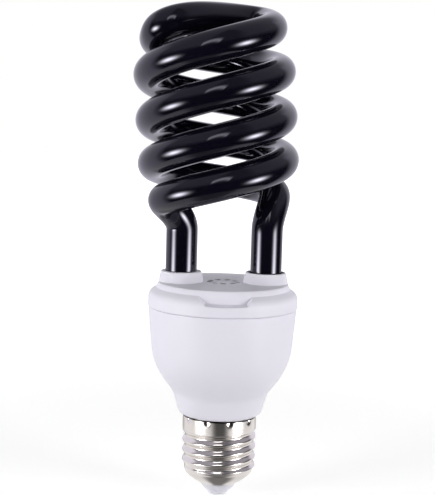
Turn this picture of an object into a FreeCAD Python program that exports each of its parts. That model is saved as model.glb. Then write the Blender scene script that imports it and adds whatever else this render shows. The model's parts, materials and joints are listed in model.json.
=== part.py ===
"""Spiral black light lamp with a 27 mm screw base, as a parametric document.

Origin at the lowest point of the centre contact, on the axis of the screw base.
+Z runs up towards the coil, +X to the leg on the right, -Y to the front. Millimetres and degrees.
"""
import FreeCAD
import Part
import Sketcher
import math
import os
import re

doc = FreeCAD.newDocument("spiral_lamp")

# Driving dimensions: name, value and meaning
SIZES = [
    ("cap_height", "29.2", "tip of the contact to the top edge of the screw shell"),
    ("thread_crest_diameter", "26.2", "crest of the rolled thread and outside of the plain collar"),
    ("thread_root_diameter", "24.4", "root of the rolled thread"),
    ("thread_pitch", "3.629", "seven turns to the inch"),
    ("thread_start_height", "10.47", "middle of the ridge where the thread starts, at the right"),
    ("shell_wall", "0.35", "sheet of the shell"),
    ("collar_length", "5.2", "plain collar above the thread"),
    ("shell_taper_height", "9.25", "where the shell starts to close in"),
    ("shell_knee_height", "6.65", "knee half way down, below which the shell closes in faster"),
    ("shell_knee_diameter", "21.2", "shell at that knee"),
    ("shell_lip_height", "4.1", "lower lip of the shell"),
    ("shell_lip_diameter", "13.6", "mouth of the shell at its lower lip"),
    ("shell_lip_thickness", "0.5", "height of the lip's edge"),
    ("contact_diameter", "8.4", "button of the centre contact"),
    ("contact_thickness", "1.6", "height of the button"),
    ("contact_rounding", "1.5", "rounded edge of the button"),
    ("contact_stem_diameter", "2.6", "stem riveted through the insulator"),
    ("insulator_foot_diameter", "9.8", "foot of the insulator, round the button"),
    ("insulator_depth", "2.2", "how far the insulator reaches up inside the shell's lip"),
    ("neck_height", "7.9", "neck, from the shell up to the corner where the bowl starts"),
    ("neck_foot_diameter", "29.2", "neck at its foot, above the shell"),
    ("waist_diameter", "33.7", "neck at its top corner"),
    ("waist_rounding", "9.0", "hollow rounding of that corner"),
    ("bowl_height", "10.3", "bowl, from the neck's top corner to the shoulder"),
    ("shoulder_diameter", "49.0", "bowl at the shoulder"),
    ("shoulder_rounding", "24.0", "rounding of the shoulder"),
    ("side_height", "20.5", "side of the housing, from the shoulder to the seam"),
    ("housing_top_diameter", "52.5", "housing at the seam"),
    ("neck_rounding", "2.4", "rounding of the neck's foot"),
    ("housing_wall", "2.0", "wall of the housing, measured level"),
    ("tail_length", "5.0", "tail of the housing inside the shell's collar"),
    ("fit_clearance", "0.1", "gap between pieces that push together"),
    ("rib_count", "4", "ribs that carry the board"),
    ("rib_thickness", "1.6", "thickness of a rib"),
    ("rib_depth", "2.4", "how far a rib reaches under the board"),
    ("rib_height", "9.0", "height of a rib"),
    ("cover_overhang", "0.3", "how far the cover's skirt stands out over the housing, each side"),
    ("cover_height", "8.5", "cover, from the seam to its flat deck"),
    ("deck_rounding", "0.7", "rounded rim of the deck"),
    ("rim_height", "1.9", "rim's wall, below the deck"),
    ("rim_inset", "0.7", "how far the rim's wall leans in, each side"),
    ("skirt_height", "4.8", "skirt, from the seam to its corner with the ledge"),
    ("skirt_inset", "0.25", "how far the skirt leans in at that corner, each side"),
    ("ledge_width", "2.7", "ledge, from that corner in to the rim"),
    ("skirt_rounding", "3.0", "rounding of that corner"),
    ("cover_wall", "1.8", "wall of the cover"),
    ("sleeve_length", "4.0", "sleeve of the cover inside the housing"),
    ("vent_count", "9", "vent holes in the deck"),
    ("vent_diameter", "1.5", "one vent hole"),
    ("vent_ring_diameter", "10.0", "circle of the vent holes"),
    ("notch_width", "21.6", "mouth of the shoulder notch at the level of the rim's foot"),
    ("notch_floor_width", "15.2", "mouth of the notch at its floor"),
    ("notch_sill", "3.35", "skirt under the notch, from the seam to the notch's floor"),
    ("notch_back_width", "17.6", "back of the notch, inside the rim's wall, at the rim's foot"),
    ("notch_back_floor_width", "11.0", "back of the notch at its floor"),
    ("notch_floor_rise", "1.1", "how much higher the floor is at the back of the notch"),
    ("tube_diameter", "11.1", "glass tube"),
    ("leg_length", "18.3", "straight leg above the deck"),
    ("coil_diameter", "45.2", "coil at the tube's axis, at its middle"),
    ("coil_pinch", "2.8", "how much nearer the axis the coil's top end is"),
    ("coil_foot_pinch", "2.0", "how much nearer the axis its lower ends are"),
    ("coil_rise", "57.4", "middle of the coil above the deck"),
    ("coil_lead", "30.5", "rise of one strand in one turn at the middle of the coil"),
    ("coil_easing", "1.8", "how much less the first and last turns rise"),
    ("coil_skew", "1.0", "how much higher the right strand ends than the even coil, and the left one lower"),
    ("coil_lift", "1.0", "how much further apart the upper half's turns are drawn"),
    ("bridge_rise", "91.7", "tube's axis at the top of the bridge, above the deck"),
    ("bridge_sway", "8.0", "how far the bridge swings to the back and to the front on its way across"),
    ("coil_lean", "3.9", "lean of the coil to the left"),
    ("coil_lean_back", "1.1", "lean of the coil to the back"),
    ("coil_entry_angle", "27.0", "where a leg has joined the coil"),
    ("socket_gap", "0.85", "dark gap between tube and socket"),
    ("socket_rim", "0.75", "edge of the socket's collar"),
    ("socket_height", "3.7", "collar above the deck"),
    ("socket_spread", "0.8", "how much wider the collar's foot is, each side"),
    ("socket_depth", "9.0", "socket below the deck"),
    ("socket_wall", "1.3", "wall of the socket below the deck"),
    ("cement_depth", "5.0", "bed of cement in the socket"),
    ("tube_tail", "1.2", "tube's end below the socket"),
    ("board_thickness", "1.6", "circuit board"),
    ("board_clearance", "0.35", "board's edge to the housing"),
    ("component_gap", "3.5", "between the bulk capacitor and the parts round it"),
    ("component_angle", "2.0", "angle between neighbours round the bulk capacitor"),
    ("bulk_diameter", "16.0", "bulk capacitor"),
    ("bulk_length", "25.0", "bulk capacitor"),
    ("bulk_groove", "0.6", "depth of the rolled groove near the bulk capacitor's foot, and its rounding"),
    ("bulk_groove_height", "1.8", "middle of that groove, from the foot"),
    ("choke_width", "14.0", "choke core across"),
    ("choke_height", "12.0", "choke core down from the board"),
    ("choke_core_depth", "5.0", "choke core front to back"),
    ("choke_leg", "4.0", "middle leg of the choke core"),
    ("choke_yoke", "2.0", "outer legs and yokes of the choke core"),
    ("bobbin_wall", "0.6", "wall and flanges of the choke's bobbin"),
    ("winding_depth", "1.8", "wire wound on the bobbin"),
    ("ring_diameter", "9.0", "drive transformer's ring"),
    ("ring_bore", "4.6", "its hole"),
    ("ring_height", "4.0", "its height"),
    ("wire_diameter", "0.6", "enamelled wire and component leads"),
    ("winding_arc", "60.0", "arc of the ring that one winding covers"),
    ("transistor_width", "7.8", "power transistor"),
    ("transistor_depth", "2.8", "power transistor"),
    ("transistor_height", "11.0", "power transistor"),
    ("transistor_hole", "3.2", "hole for a heat sink"),
    ("transistor_legs", "3.0", "transistor's legs below the board"),
    ("transistor_pitch", "2.3", "between the transistor's legs"),
    ("film_width", "11.0", "film capacitor"),
    ("film_depth", "5.0", "film capacitor"),
    ("film_height", "9.0", "film capacitor"),
    ("film_rounding", "1.2", "rounded edges of a film capacitor"),
    ("filter_diameter", "8.0", "flanges of the filter choke's drum"),
    ("filter_height", "9.0", "drum of the filter choke"),
    ("filter_flange", "1.2", "one flange of the drum"),
    ("filter_waist", "4.0", "middle of the drum"),
    ("diode_diameter", "2.7", "rectifier diode"),
    ("diode_length", "5.2", "rectifier diode"),
    ("resistor_diameter", "2.4", "base resistor"),
    ("resistor_length", "6.4", "base resistor"),
    ("fuse_diameter", "3.6", "fuse resistor"),
    ("fuse_length", "9.0", "fuse resistor"),
    ("lead_reach", "1.8", "lead out of each end before it turns down to the board"),
    ("row_spacing", "4.2", "between the parts lying on the board"),
    ("pin_thickness", "1.0", "square filament pin"),
    ("pin_height", "6.0", "filament pin above the board"),
    ("pin_across", "17.0", "between the left and right pins"),
    ("pin_along", "28.0", "between the front and back pins"),
    ("filament_spacing", "4.0", "between the two leads at one end of the tube"),
    ("filament_diameter", "0.5", "filament lead"),
    ("mains_diameter", "1.2", "insulated live and neutral leads"),
    ("neutral_bend", "4.8", "height in which the neutral lead leaves the shell to pass inside the tail"),
]

sheet = doc.addObject("Spreadsheet::Sheet", "sizes")
for row, (name, value, meaning) in enumerate(SIZES, start=1):
    sheet.set(f"A{row}", meaning)
    sheet.set(f"B{row}", value)
    sheet.setAlias(f"B{row}", name)
doc.recompute()

NAMES = {name for name, _, _ in SIZES}
# Heights above the tip, widths and spacings that follow from the pieces they stand on or meet
DERIVED = {
    "waist_height": "(cap_height + neck_height)",
    "shoulder_height": "(waist_height + bowl_height)",
    "seam_height": "(shoulder_height + side_height)",
    "notch_floor_height": "(seam_height + notch_sill)",
    "skirt_corner_height": "(seam_height + skirt_height)",
    "deck_height": "(seam_height + cover_height)",
    "rim_foot_height": "(deck_height - rim_height)",
    "leg_bend_height": "(deck_height + leg_length)",
    "coil_middle_height": "(deck_height + coil_rise)",
    "bridge_height": "(deck_height + bridge_rise)",
    "cover_diameter": "(housing_top_diameter + 2 * cover_overhang)",
    "skirt_corner_diameter": "(cover_diameter - 2 * skirt_inset)",
    "rim_foot_diameter": "(skirt_corner_diameter - 2 * ledge_width)",
    "deck_diameter": "(rim_foot_diameter - 2 * rim_inset)",
    "collar_top_radius": "(tube_diameter / 2 + socket_gap + socket_rim)",
    "collar_foot_radius": "(collar_top_radius + socket_spread)",
    "leg_spacing": "(deck_diameter - 2 * collar_foot_radius)",
}
pieces = []


def size(name):
    """A driving dimension, or one that follows from some, as a number."""
    return number(name) if name in DERIVED else float(sheet.get(name))


def in_sheet(words):
    """An expression with each size's name pointed at the sheet, and what follows from sizes worked out."""
    def point(match):
        word = match.group(0)
        if word in DERIVED:
            return in_sheet(DERIVED[word])
        return "sizes." + word if word in NAMES else word

    return re.sub(r"[a-z_]+", point, str(words))


def tie(thing, prop, words):
    thing.setExpression(prop, in_sheet(words))


# A point that works out an expression, so that a choice of edges can use the same words as a sketch
reader = doc.addObject("Part::Vertex", "expression_reader")


def number(words):
    tie(reader, "X", words)
    reader.recompute()
    return reader.X.Value


def new_body(label):
    body = doc.addObject("PartDesign::Body", label)
    body.Label = label
    pieces.append(body)
    return body


def origin_of(body, role):
    return next(part for part in body.Origin.OriginFeatures if part.Role == role)


def new_sketch(body, plane, offset="0"):
    sketch = body.newObject("Sketcher::SketchObject", body.Label + "_sketch")
    sketch.AttachmentSupport = (origin_of(body, plane), [""])
    sketch.MapMode = "FlatFace"
    tie(sketch, "AttachmentOffset.Base.z", offset)
    return sketch


def add_loop(sketch, points):
    """A closed run of lines through points, each an (across, up) pair of expressions."""
    first = sketch.GeometryCount
    count = len(points)
    near = [FreeCAD.Vector(number(across), number(up), 0) for across, up in points]
    for i in range(count):
        sketch.addGeometry(Part.LineSegment(near[i], near[(i + 1) % count]), False)
    for i, (across, up) in enumerate(points):
        line = first + i
        before = first + (i - 1) % count
        sketch.addConstraint(Sketcher.Constraint("Coincident", before, 2, line, 1))
        for kind, words, axis in (("DistanceX", across, -2), ("DistanceY", up, -1)):
            if words == "0":
                sketch.addConstraint(Sketcher.Constraint("PointOnObject", line, 1, axis))
                continue
            index = sketch.addConstraint(Sketcher.Constraint(kind, -1, 1, line, 1, number(words)))
            tie(sketch, f"Constraints[{index}]", words)


def add_rectangle(sketch, width, depth):
    """A rectangle about the sketch's own middle."""
    right, top = f"({width}) / 2", f"({depth}) / 2"
    add_loop(sketch, [(f"-{right}", f"-{top}"), (right, f"-{top}"), (right, top), (f"-{right}", top)])


def add_circle(sketch, across, up, radius):
    middle = FreeCAD.Vector(number(across), number(up), 0)
    circle = sketch.addGeometry(Part.Circle(middle, FreeCAD.Vector(0, 0, 1), number(radius)), False)
    for kind, words, axis in (("DistanceX", across, -2), ("DistanceY", up, -1)):
        if words == "0":
            sketch.addConstraint(Sketcher.Constraint("PointOnObject", circle, 3, axis))
            continue
        index = sketch.addConstraint(Sketcher.Constraint(kind, -1, 1, circle, 3, number(words)))
        tie(sketch, f"Constraints[{index}]", words)
    index = sketch.addConstraint(Sketcher.Constraint("Radius", circle, number(radius)))
    tie(sketch, f"Constraints[{index}]", radius)


def revolve(body, points, angle="360"):
    sketch = new_sketch(body, "XZ_Plane")
    add_loop(sketch, points)
    turn = body.newObject("PartDesign::Revolution", body.Label + "_turned")
    turn.Profile = sketch
    turn.ReferenceAxis = (sketch, ["V_Axis"])
    tie(turn, "Angle", angle)
    doc.recompute()
    return turn


def pad(body, sketch, length, midplane=False):
    feature = body.newObject("PartDesign::Pad", body.Label + "_pad")
    feature.Profile = sketch
    feature.SideType = "Symmetric" if midplane else "One side"
    tie(feature, "Length", length)
    doc.recompute()
    return feature


# How near an edge has to be to a wanted one
EDGE_TOLERANCE = 0.01


def round_rings(body, radius, rings):
    """Rounds the level circular edges at the given (radius, height) pairs of expressions."""
    base = body.Tip
    wanted = [(number(across), number(up)) for across, up in rings]
    names = []
    for i, edge in enumerate(base.Shape.Edges, start=1):
        curve = edge.Curve
        if not isinstance(curve, Part.Circle):
            continue
        for across, up in wanted:
            if max(abs(curve.Radius - across), abs(curve.Center.z - up)) < EDGE_TOLERANCE:
                names.append(f"Edge{i}")
    assert len(names) == len(wanted), f"{body.Label}: {len(names)} of {len(wanted)} edges found"
    fillet = body.newObject("PartDesign::Fillet", body.Label + "_rounding")
    fillet.Base = (base, names)
    tie(fillet, "Radius", radius)
    doc.recompute()


def place(thing, across="0", along="0", up="0", turn=None):
    """Ties a piece's place, and its turn about the upright axis, to the sheet."""
    if turn is not None:
        thing.Placement = FreeCAD.Placement(FreeCAD.Vector(), FreeCAD.Rotation(FreeCAD.Vector(0, 0, 1), 1))
        tie(thing, "Placement.Rotation.Angle", turn)
    tie(thing, "Placement.Base.x", across)
    tie(thing, "Placement.Base.y", along)
    tie(thing, "Placement.Base.z", up)


# Paths of straight runs and tangent arcs; a rounded corner takes this share of its shorter run
CORNER_SHARE = 0.45


def arc_at(start, corner, end):
    """The arc that leaves start towards corner and arrives at end from corner, both as far from corner."""
    to_start = start - corner
    to_end = end - corner
    reach = to_start.Length
    inward = (to_start + to_end).normalize()
    half = to_start.getAngle(to_end) / 2
    middle = corner + inward * (reach / math.cos(half) - reach * math.tan(half))
    return Part.Arc(start, middle, end).toShape()


def arc_pair(start, heading, end, arrival):
    """Two tangent arcs from start, along heading, to end, along arrival."""
    chord = end - start
    both = heading + arrival
    spread = 2 * (1 - heading.dot(arrival))
    reach = (math.sqrt(chord.dot(both) ** 2 + spread * chord.dot(chord)) - chord.dot(both)) / spread
    first = start + heading * reach
    second = end - arrival * reach
    joint = (first + second) / 2
    return [arc_at(start, first, joint), arc_at(joint, second, end)]


def rounded_run(points):
    """Straight runs through points, with each corner as round as its shorter run allows."""
    edges = []
    last = points[0]
    for before, corner, after in zip(points, points[1:], points[2:]):
        back = before - corner
        ahead = after - corner
        reach = CORNER_SHARE * min(back.Length, ahead.Length)
        start = corner + back.normalize() * reach
        end = corner + ahead.normalize() * reach
        edges += [Part.LineSegment(last, start).toShape(), arc_at(start, corner, end)]
        last = end
    edges.append(Part.LineSegment(last, points[-1]).toShape())
    return edges


def tube_along(label, edges, radius):
    """A round tube along a path, as a sweep of a circle."""
    path = doc.addObject("Part::Feature", label + "_path")
    path.Shape = Part.Wire(edges)
    section = doc.addObject("Part::Circle", label + "_section")
    tie(section, "Radius", radius)
    start = edges[0].firstVertex().Point
    heading = edges[0].tangentAt(edges[0].FirstParameter)
    section.Placement = FreeCAD.Placement(start, FreeCAD.Rotation(FreeCAD.Vector(0, 0, 1), heading))
    tube = doc.addObject("Part::Sweep", label)
    tube.Sections = [section]
    tube.Spine = (path, [f"Edge{i + 1}" for i in range(len(edges))])
    tube.Solid = True
    tube.Label = label
    doc.recompute()
    pieces.append(tube)
    return tube


# Glass tube: two legs, two strands of the coil and the bridge at the top

# How late the coil's pinch sets in, and its easing and skew, as powers of the turns from its middle
PINCH_POWER = 6
EASING_POWER = 3
# Points of one strand and of half the bridge that the tube's arcs join, and the step that gives headings
STRAND_STATIONS = 17
BRIDGE_STATIONS = 4
HEADING_STEP = 1e-4


def lean(point):
    """Leans a point of the coil about the middle of the deck."""
    left = math.tan(math.radians(size("coil_lean")))
    back = math.tan(math.radians(size("coil_lean_back")))
    rise = point.z - size("deck_height")
    return FreeCAD.Vector(point.x - left * rise, point.y + back * rise,
                          point.z + left * point.x - back * point.y)


def strand_point(turns, side):
    """A point of one strand, by its turns from the middle of the coil; side is 1 right, -1 left."""
    above = max(turns, 0)
    pinch = size("coil_pinch") if above else size("coil_foot_pinch")
    radius = side * (size("coil_diameter") / 2 - pinch * turns ** PINCH_POWER)
    angle = 2 * math.pi * turns
    rise = size("coil_lead") * turns - size("coil_easing") * turns ** EASING_POWER + size("coil_lift") * above
    skew = side * size("coil_skew") * above ** EASING_POWER
    return FreeCAD.Vector(radius * math.cos(angle), radius * math.sin(angle),
                          size("coil_middle_height") + rise + skew)


def bridge_point(share, side):
    """A point of the swung arch from a strand's top, share 0, to the coil's axis, share 1."""
    top = strand_point(1.0, side)
    angle = math.pi / 2 * share
    rise = (size("bridge_height") - top.z) * math.sin(angle)
    swing = side * size("bridge_sway") * math.sin(2 * angle)
    return FreeCAD.Vector(top.x * math.cos(angle), swing, top.z + rise)


def stations(curve, start, end, count):
    """Points of a curve and its headings there, the coil's lean included."""
    found = []
    for i in range(count):
        at = start + (end - start) * i / (count - 1)
        ahead = lean(curve(at + HEADING_STEP)) - lean(curve(at - HEADING_STEP))
        found.append((lean(curve(at)), ahead.normalize()))
    return found


def half_tube(side):
    """Stations from the top of one leg to the coil's axis."""
    entry = size("coil_entry_angle") / 360 - 1
    helix = stations(lambda turns: strand_point(turns, side), entry, 1.0, STRAND_STATIONS)
    bridge = stations(lambda share: bridge_point(share, side), 0.0, 1.0, BRIDGE_STATIONS)
    leg = FreeCAD.Vector(side * size("leg_spacing") / 2, 0, size("leg_bend_height"))
    return [(leg, FreeCAD.Vector(0, 0, 1))] + helix + bridge[1:]


def glass_tube():
    right = half_tube(1)
    left = [(point, heading * -1) for point, heading in reversed(half_tube(-1))]
    route = right + left[1:]
    drop = FreeCAD.Vector(0, 0, size("leg_bend_height") - number(TUBE_END))
    edges = [Part.LineSegment(route[0][0] - drop, route[0][0]).toShape()]
    for (start, heading), (end, arrival) in zip(route, route[1:]):
        edges += arc_pair(start, heading, end, arrival)
    edges.append(Part.LineSegment(route[-1][0], route[-1][0] - drop).toShape())
    return tube_along("glass_tube", edges, "tube_diameter / 2")


# Levels and radii that more than one piece uses
SOCKET_BOTTOM = "(deck_height - socket_depth)"
TUBE_END = f"({SOCKET_BOTTOM} - tube_tail)"
SOCKET_RADIUS = "(tube_diameter / 2 + socket_gap)"
BOARD_TOP = "(seam_height - sleeve_length - fit_clearance)"
BOARD_BOTTOM = f"({BOARD_TOP} - board_thickness)"
HOUSING_TAPER = "((housing_top_diameter - shoulder_diameter) / 2 / (seam_height - shoulder_height))"
HOUSING_INSIDE = "(housing_top_diameter / 2 - housing_wall)"
BOARD_RADIUS = f"({HOUSING_INSIDE} - {HOUSING_TAPER} * (seam_height - {BOARD_BOTTOM}) - board_clearance)"
SLEEVE_RADIUS = f"({HOUSING_INSIDE} - {HOUSING_TAPER} * sleeve_length - fit_clearance)"
COVER_INSIDE = f"({SLEEVE_RADIUS} - cover_wall)"
SHELL_INSIDE = "(thread_root_diameter / 2 - shell_wall)"
COLLAR_BOTTOM = "(cap_height - collar_length)"
LIP_TOP = "(shell_lip_height + shell_lip_thickness)"
KNEE_INSIDE = ("(shell_knee_diameter / 2 - shell_wall)", "(shell_knee_height + shell_wall / 2)")
INSULATOR_TOP = f"({LIP_TOP} + insulator_depth)"
TAIL_RADIUS = "(thread_crest_diameter / 2 - shell_wall - fit_clearance)"


# The thread's ridge: half its foot and half its round crown in pitches, the crown's fall in thread depths
RIDGE_SHARE = 0.4
CROWN_SHARE = 0.16
CROWN_FALL = 0.12


# Screw shell: rolled sheet with a plain collar, a right-hand rounded thread and a closed-in foot

def screw_shell():
    body = new_body("screw_shell")
    crest, root = "thread_crest_diameter / 2", "thread_root_diameter / 2"
    step = "(thread_crest_diameter - thread_root_diameter) / 2"
    revolve(body, [
        ("shell_lip_diameter / 2", "shell_lip_height"), ("shell_knee_diameter / 2", "shell_knee_height"),
        (root, "shell_taper_height"),
        (root, f"{COLLAR_BOTTOM} - {step}"), (crest, COLLAR_BOTTOM), (crest, "cap_height"),
        (f"{crest} - shell_wall", "cap_height"), (f"{crest} - shell_wall", COLLAR_BOTTOM),
        (SHELL_INSIDE, f"{COLLAR_BOTTOM} - {step}"), (SHELL_INSIDE, "shell_taper_height"),
        KNEE_INSIDE, ("shell_lip_diameter / 2", LIP_TOP),
    ])
    # The ridge is a round-topped bump, swept up the shell from the right side
    ridge = new_sketch(body, "XZ_Plane")
    inner = f"{root} - shell_wall / 2"
    low, high = (f"thread_start_height {sign} {RIDGE_SHARE} * thread_pitch" for sign in "-+")
    near_low, near_high = (f"thread_start_height {sign} {CROWN_SHARE} * thread_pitch" for sign in "-+")
    crown = f"{crest} - {CROWN_FALL} * {step}"
    add_loop(ridge, [(inner, low), (root, low), (crown, near_low), (crest, "thread_start_height"),
                     (crown, near_high), (root, high), (inner, high)])
    thread = body.newObject("PartDesign::AdditiveHelix", "screw_shell_thread")
    thread.Profile = ridge
    thread.ReferenceAxis = (ridge, ["V_Axis"])
    thread.Mode = "pitch-turns-angle"
    tie(thread, "Pitch", "thread_pitch")
    tie(thread, "Turns", f"({COLLAR_BOTTOM} - thread_start_height) / thread_pitch - {RIDGE_SHARE}")
    thread.LeftHanded = False
    thread.Reversed = False
    doc.recompute()


def centre_contact():
    body = new_body("centre_contact")
    radius, stem = "contact_diameter / 2", "contact_stem_diameter / 2"
    revolve(body, [("0", "0"), (radius, "0"), (radius, "contact_thickness"), (stem, "contact_thickness"),
                   (stem, INSULATOR_TOP), ("0", INSULATOR_TOP)])
    round_rings(body, "contact_rounding", [(radius, "0")])


def base_insulator():
    body = new_body("base_insulator")
    mouth, stem = "shell_lip_diameter / 2", "contact_stem_diameter / 2"
    slope = f"(({KNEE_INSIDE[0]} - {mouth}) / ({KNEE_INSIDE[1]} - {LIP_TOP}))"
    revolve(body, [(stem, "contact_thickness"), ("insulator_foot_diameter / 2", "contact_thickness"),
                   (mouth, "shell_lip_height"), (mouth, LIP_TOP),
                   (f"{mouth} + {slope} * insulator_depth", INSULATOR_TOP), (stem, INSULATOR_TOP)])


# Ballast housing: bowl, waist and neck, with a tail in the shell and ribs for the board

# How much of the step over the shell the rounding of the neck's foot may take
STEP_SHARE = 0.98


def ballast_housing():
    body = new_body("ballast_housing")
    top, shoulder = "housing_top_diameter / 2", "shoulder_diameter / 2"
    waist, foot = "waist_diameter / 2", "neck_foot_diameter / 2"
    tail_bottom = "cap_height - tail_length"
    tail_inside = f"{TAIL_RADIUS} - housing_wall"
    revolve(body, [
        (TAIL_RADIUS, tail_bottom), (TAIL_RADIUS, "cap_height"), (foot, "cap_height"),
        (waist, "waist_height"), (shoulder, "shoulder_height"), (top, "seam_height"),
        (HOUSING_INSIDE, "seam_height"),
        (f"{shoulder} - housing_wall", "shoulder_height"), (f"{waist} - housing_wall", "waist_height"),
        (tail_inside, "cap_height + housing_wall"), (tail_inside, tail_bottom),
    ])
    round_rings(body, "shoulder_rounding", [(shoulder, "shoulder_height")])
    round_rings(body, "shoulder_rounding - housing_wall", [(f"{shoulder} - housing_wall", "shoulder_height")])
    round_rings(body, "waist_rounding", [(waist, "waist_height")])
    # The neck's foot is rounded no further than its step over the shell allows
    lean_angle = f"atan(({waist} - {foot}) / neck_height)"
    step_limit = f"{STEP_SHARE} * ({foot} - {TAIL_RADIUS}) / tan((90 deg - {lean_angle}) / 2)"
    round_rings(body, f"min(neck_rounding; {step_limit})", [(foot, "cap_height")])
    # A rib stands on the wall under the board's edge
    rib = new_sketch(body, "XZ_Plane")
    inner = f"{BOARD_RADIUS} - rib_depth"
    outer = f"{HOUSING_INSIDE} - {HOUSING_TAPER} * (seam_height - {BOARD_BOTTOM}) + housing_wall / 2"
    bottom = f"{BOARD_BOTTOM} - rib_height"
    outer_low = f"{outer} - {HOUSING_TAPER} * rib_height"
    add_loop(rib, [(inner, BOARD_BOTTOM), (outer, BOARD_BOTTOM), (outer_low, bottom),
                   (f"{outer_low} - housing_wall", bottom)])
    wall = pad(body, rib, "rib_thickness", midplane=True)
    ring = body.newObject("PartDesign::PolarPattern", "ballast_housing_ribs")
    ring.Originals = [wall]
    ring.Axis = (origin_of(body, "Z_Axis"), [""])
    ring.Angle = 360
    tie(ring, "Occurrences", "rib_count")
    body.Tip = ring
    doc.recompute()


# Tube cover: deck with a rounded rim, ledge, skirt, two sockets, vents and two notches

def primitive(body, kind, name, sizes, across, up):
    """A cone or cylinder on one leg's axis, added to or taken from a body."""
    solid = body.newObject(kind, f"{body.Label}_{name}")
    for prop, words in sizes.items():
        tie(solid, prop, words)
    place(solid, across=across, up=up)
    doc.recompute()


def cover_notch(body, front):
    """Cuts one notch through the skirt's ring and its ledge; the rim's wall comes behind it later."""
    skirt = "cover_diameter / 2"
    mouth = ("notch_floor_width", "notch_width")
    back = ("notch_back_floor_width", "notch_back_width")
    sketches = []
    for radius, (narrow, wide) in ((skirt, mouth), (COVER_INSIDE, back)):
        floor = f"(notch_floor_height + notch_floor_rise * ({skirt} - {radius}) / ({skirt} - {COVER_INSIDE}))"
        slope = f"(({wide} - {narrow}) / 2 / (rim_foot_height - notch_floor_height))"
        half, half_top = (f"({narrow} / 2 + {slope} * ({level} - notch_floor_height))"
                          for level in (floor, "deck_height"))
        sketch = new_sketch(body, "XZ_Plane", radius if front else f"-({radius})")
        add_loop(sketch, [(f"-{half}", floor), (half, floor), (half_top, "deck_height"),
                          (f"-{half_top}", "deck_height")])
        sketches.append(sketch)
    cut = body.newObject("PartDesign::SubtractiveLoft", "tube_cover_notch")
    cut.Profile = sketches[0]
    cut.Sections = [(sketches[1], [""])]
    cut.Ruled = True
    doc.recompute()


def tube_cover():
    body = new_body("tube_cover")
    deck, rim_foot = "deck_diameter / 2", "rim_foot_diameter / 2"
    skirt_corner, skirt = "skirt_corner_diameter / 2", "cover_diameter / 2"
    sleeve_bottom = "seam_height - sleeve_length"
    inside = COVER_INSIDE
    revolve(body, [
        (inside, "rim_foot_height"), (rim_foot, "rim_foot_height"), (skirt_corner, "skirt_corner_height"),
        (skirt, "seam_height"), (SLEEVE_RADIUS, "seam_height"), (SLEEVE_RADIUS, sleeve_bottom),
        (inside, sleeve_bottom),
    ])
    round_rings(body, "skirt_rounding", [(skirt_corner, "skirt_corner_height")])
    for front in (True, False):
        cover_notch(body, front)
    # The deck, whose rim's wall stands behind the notches, down to their floors
    revolve(body, [
        ("0", "deck_height"), (deck, "deck_height"), (rim_foot, "rim_foot_height"),
        (rim_foot, "notch_floor_height"), (inside, "notch_floor_height"),
        (f"{deck} - cover_wall", "deck_height - cover_wall"), ("0", "deck_height - cover_wall"),
    ])
    round_rings(body, "deck_rounding", [(deck, "deck_height")])
    for side in ("-", ""):
        axis = f"{side}leg_spacing / 2"
        word = "left" if side else "right"
        collar = {"Radius1": "collar_foot_radius", "Radius2": "collar_top_radius", "Height": "socket_height"}
        primitive(body, "PartDesign::AdditiveCone", word + "_collar", collar, axis, "deck_height")
        primitive(body, "PartDesign::AdditiveCylinder", word + "_socket",
                  {"Radius": f"{SOCKET_RADIUS} + socket_wall", "Height": "socket_depth"}, axis, SOCKET_BOTTOM)
        primitive(body, "PartDesign::SubtractiveCylinder", word + "_bore",
                  {"Radius": SOCKET_RADIUS, "Height": "socket_depth + socket_height"}, axis, SOCKET_BOTTOM)
    vent = new_sketch(body, "XY_Plane", "deck_height")
    add_circle(vent, "0", "-vent_ring_diameter / 2", "vent_diameter / 2")
    hole = body.newObject("PartDesign::Pocket", "tube_cover_vent")
    hole.Profile = vent
    tie(hole, "Length", "cover_wall")
    doc.recompute()
    ring = body.newObject("PartDesign::PolarPattern", "tube_cover_vents")
    ring.Originals = [hole]
    ring.Axis = (origin_of(body, "Z_Axis"), [""])
    ring.Angle = 360
    tie(ring, "Occurrences", "vent_count")
    body.Tip = ring
    doc.recompute()


def tube_cement(side):
    body = new_body("right_tube_cement" if side == "" else "left_tube_cement")
    sketch = new_sketch(body, "XY_Plane")
    add_circle(sketch, "0", "0", SOCKET_RADIUS)
    add_circle(sketch, "0", "0", "tube_diameter / 2")
    pad(body, sketch, "cement_depth")
    place(body, across=f"{side}leg_spacing / 2", up=SOCKET_BOTTOM)


# Ballast: the board, and the parts that hang under it or lie on it

def circuit_board():
    body = new_body("circuit_board")
    sketch = new_sketch(body, "XY_Plane")
    add_circle(sketch, "0", "0", BOARD_RADIUS)
    pad(body, sketch, "board_thickness")
    place(body, up=BOARD_BOTTOM)


def hang(body, depth, angle):
    """Hangs a piece under the board, beside the bulk capacitor; its own top is at height 0."""
    radius = f"({CLEAR_OF_BULK} + ({depth}) / 2)"
    place(body, across=f"{radius} * cos({angle})", along=f"{radius} * sin({angle})", up=BOARD_BOTTOM,
          turn=f"{angle} - 90 deg")


def bulk_capacitor():
    body = new_body("bulk_capacitor")
    can = "bulk_diameter / 2"
    groove = "bulk_groove"
    revolve(body, [("0", "0"), (can, "0"), (can, f"{groove} - bulk_groove_height"),
                   (f"{can} - {groove}", "-bulk_groove_height"), (can, f"-{groove} - bulk_groove_height"),
                   (can, "-bulk_length"), ("0", "-bulk_length")])
    round_rings(body, groove, [(can, "-bulk_length")])
    place(body, up=BOARD_BOTTOM)


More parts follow.
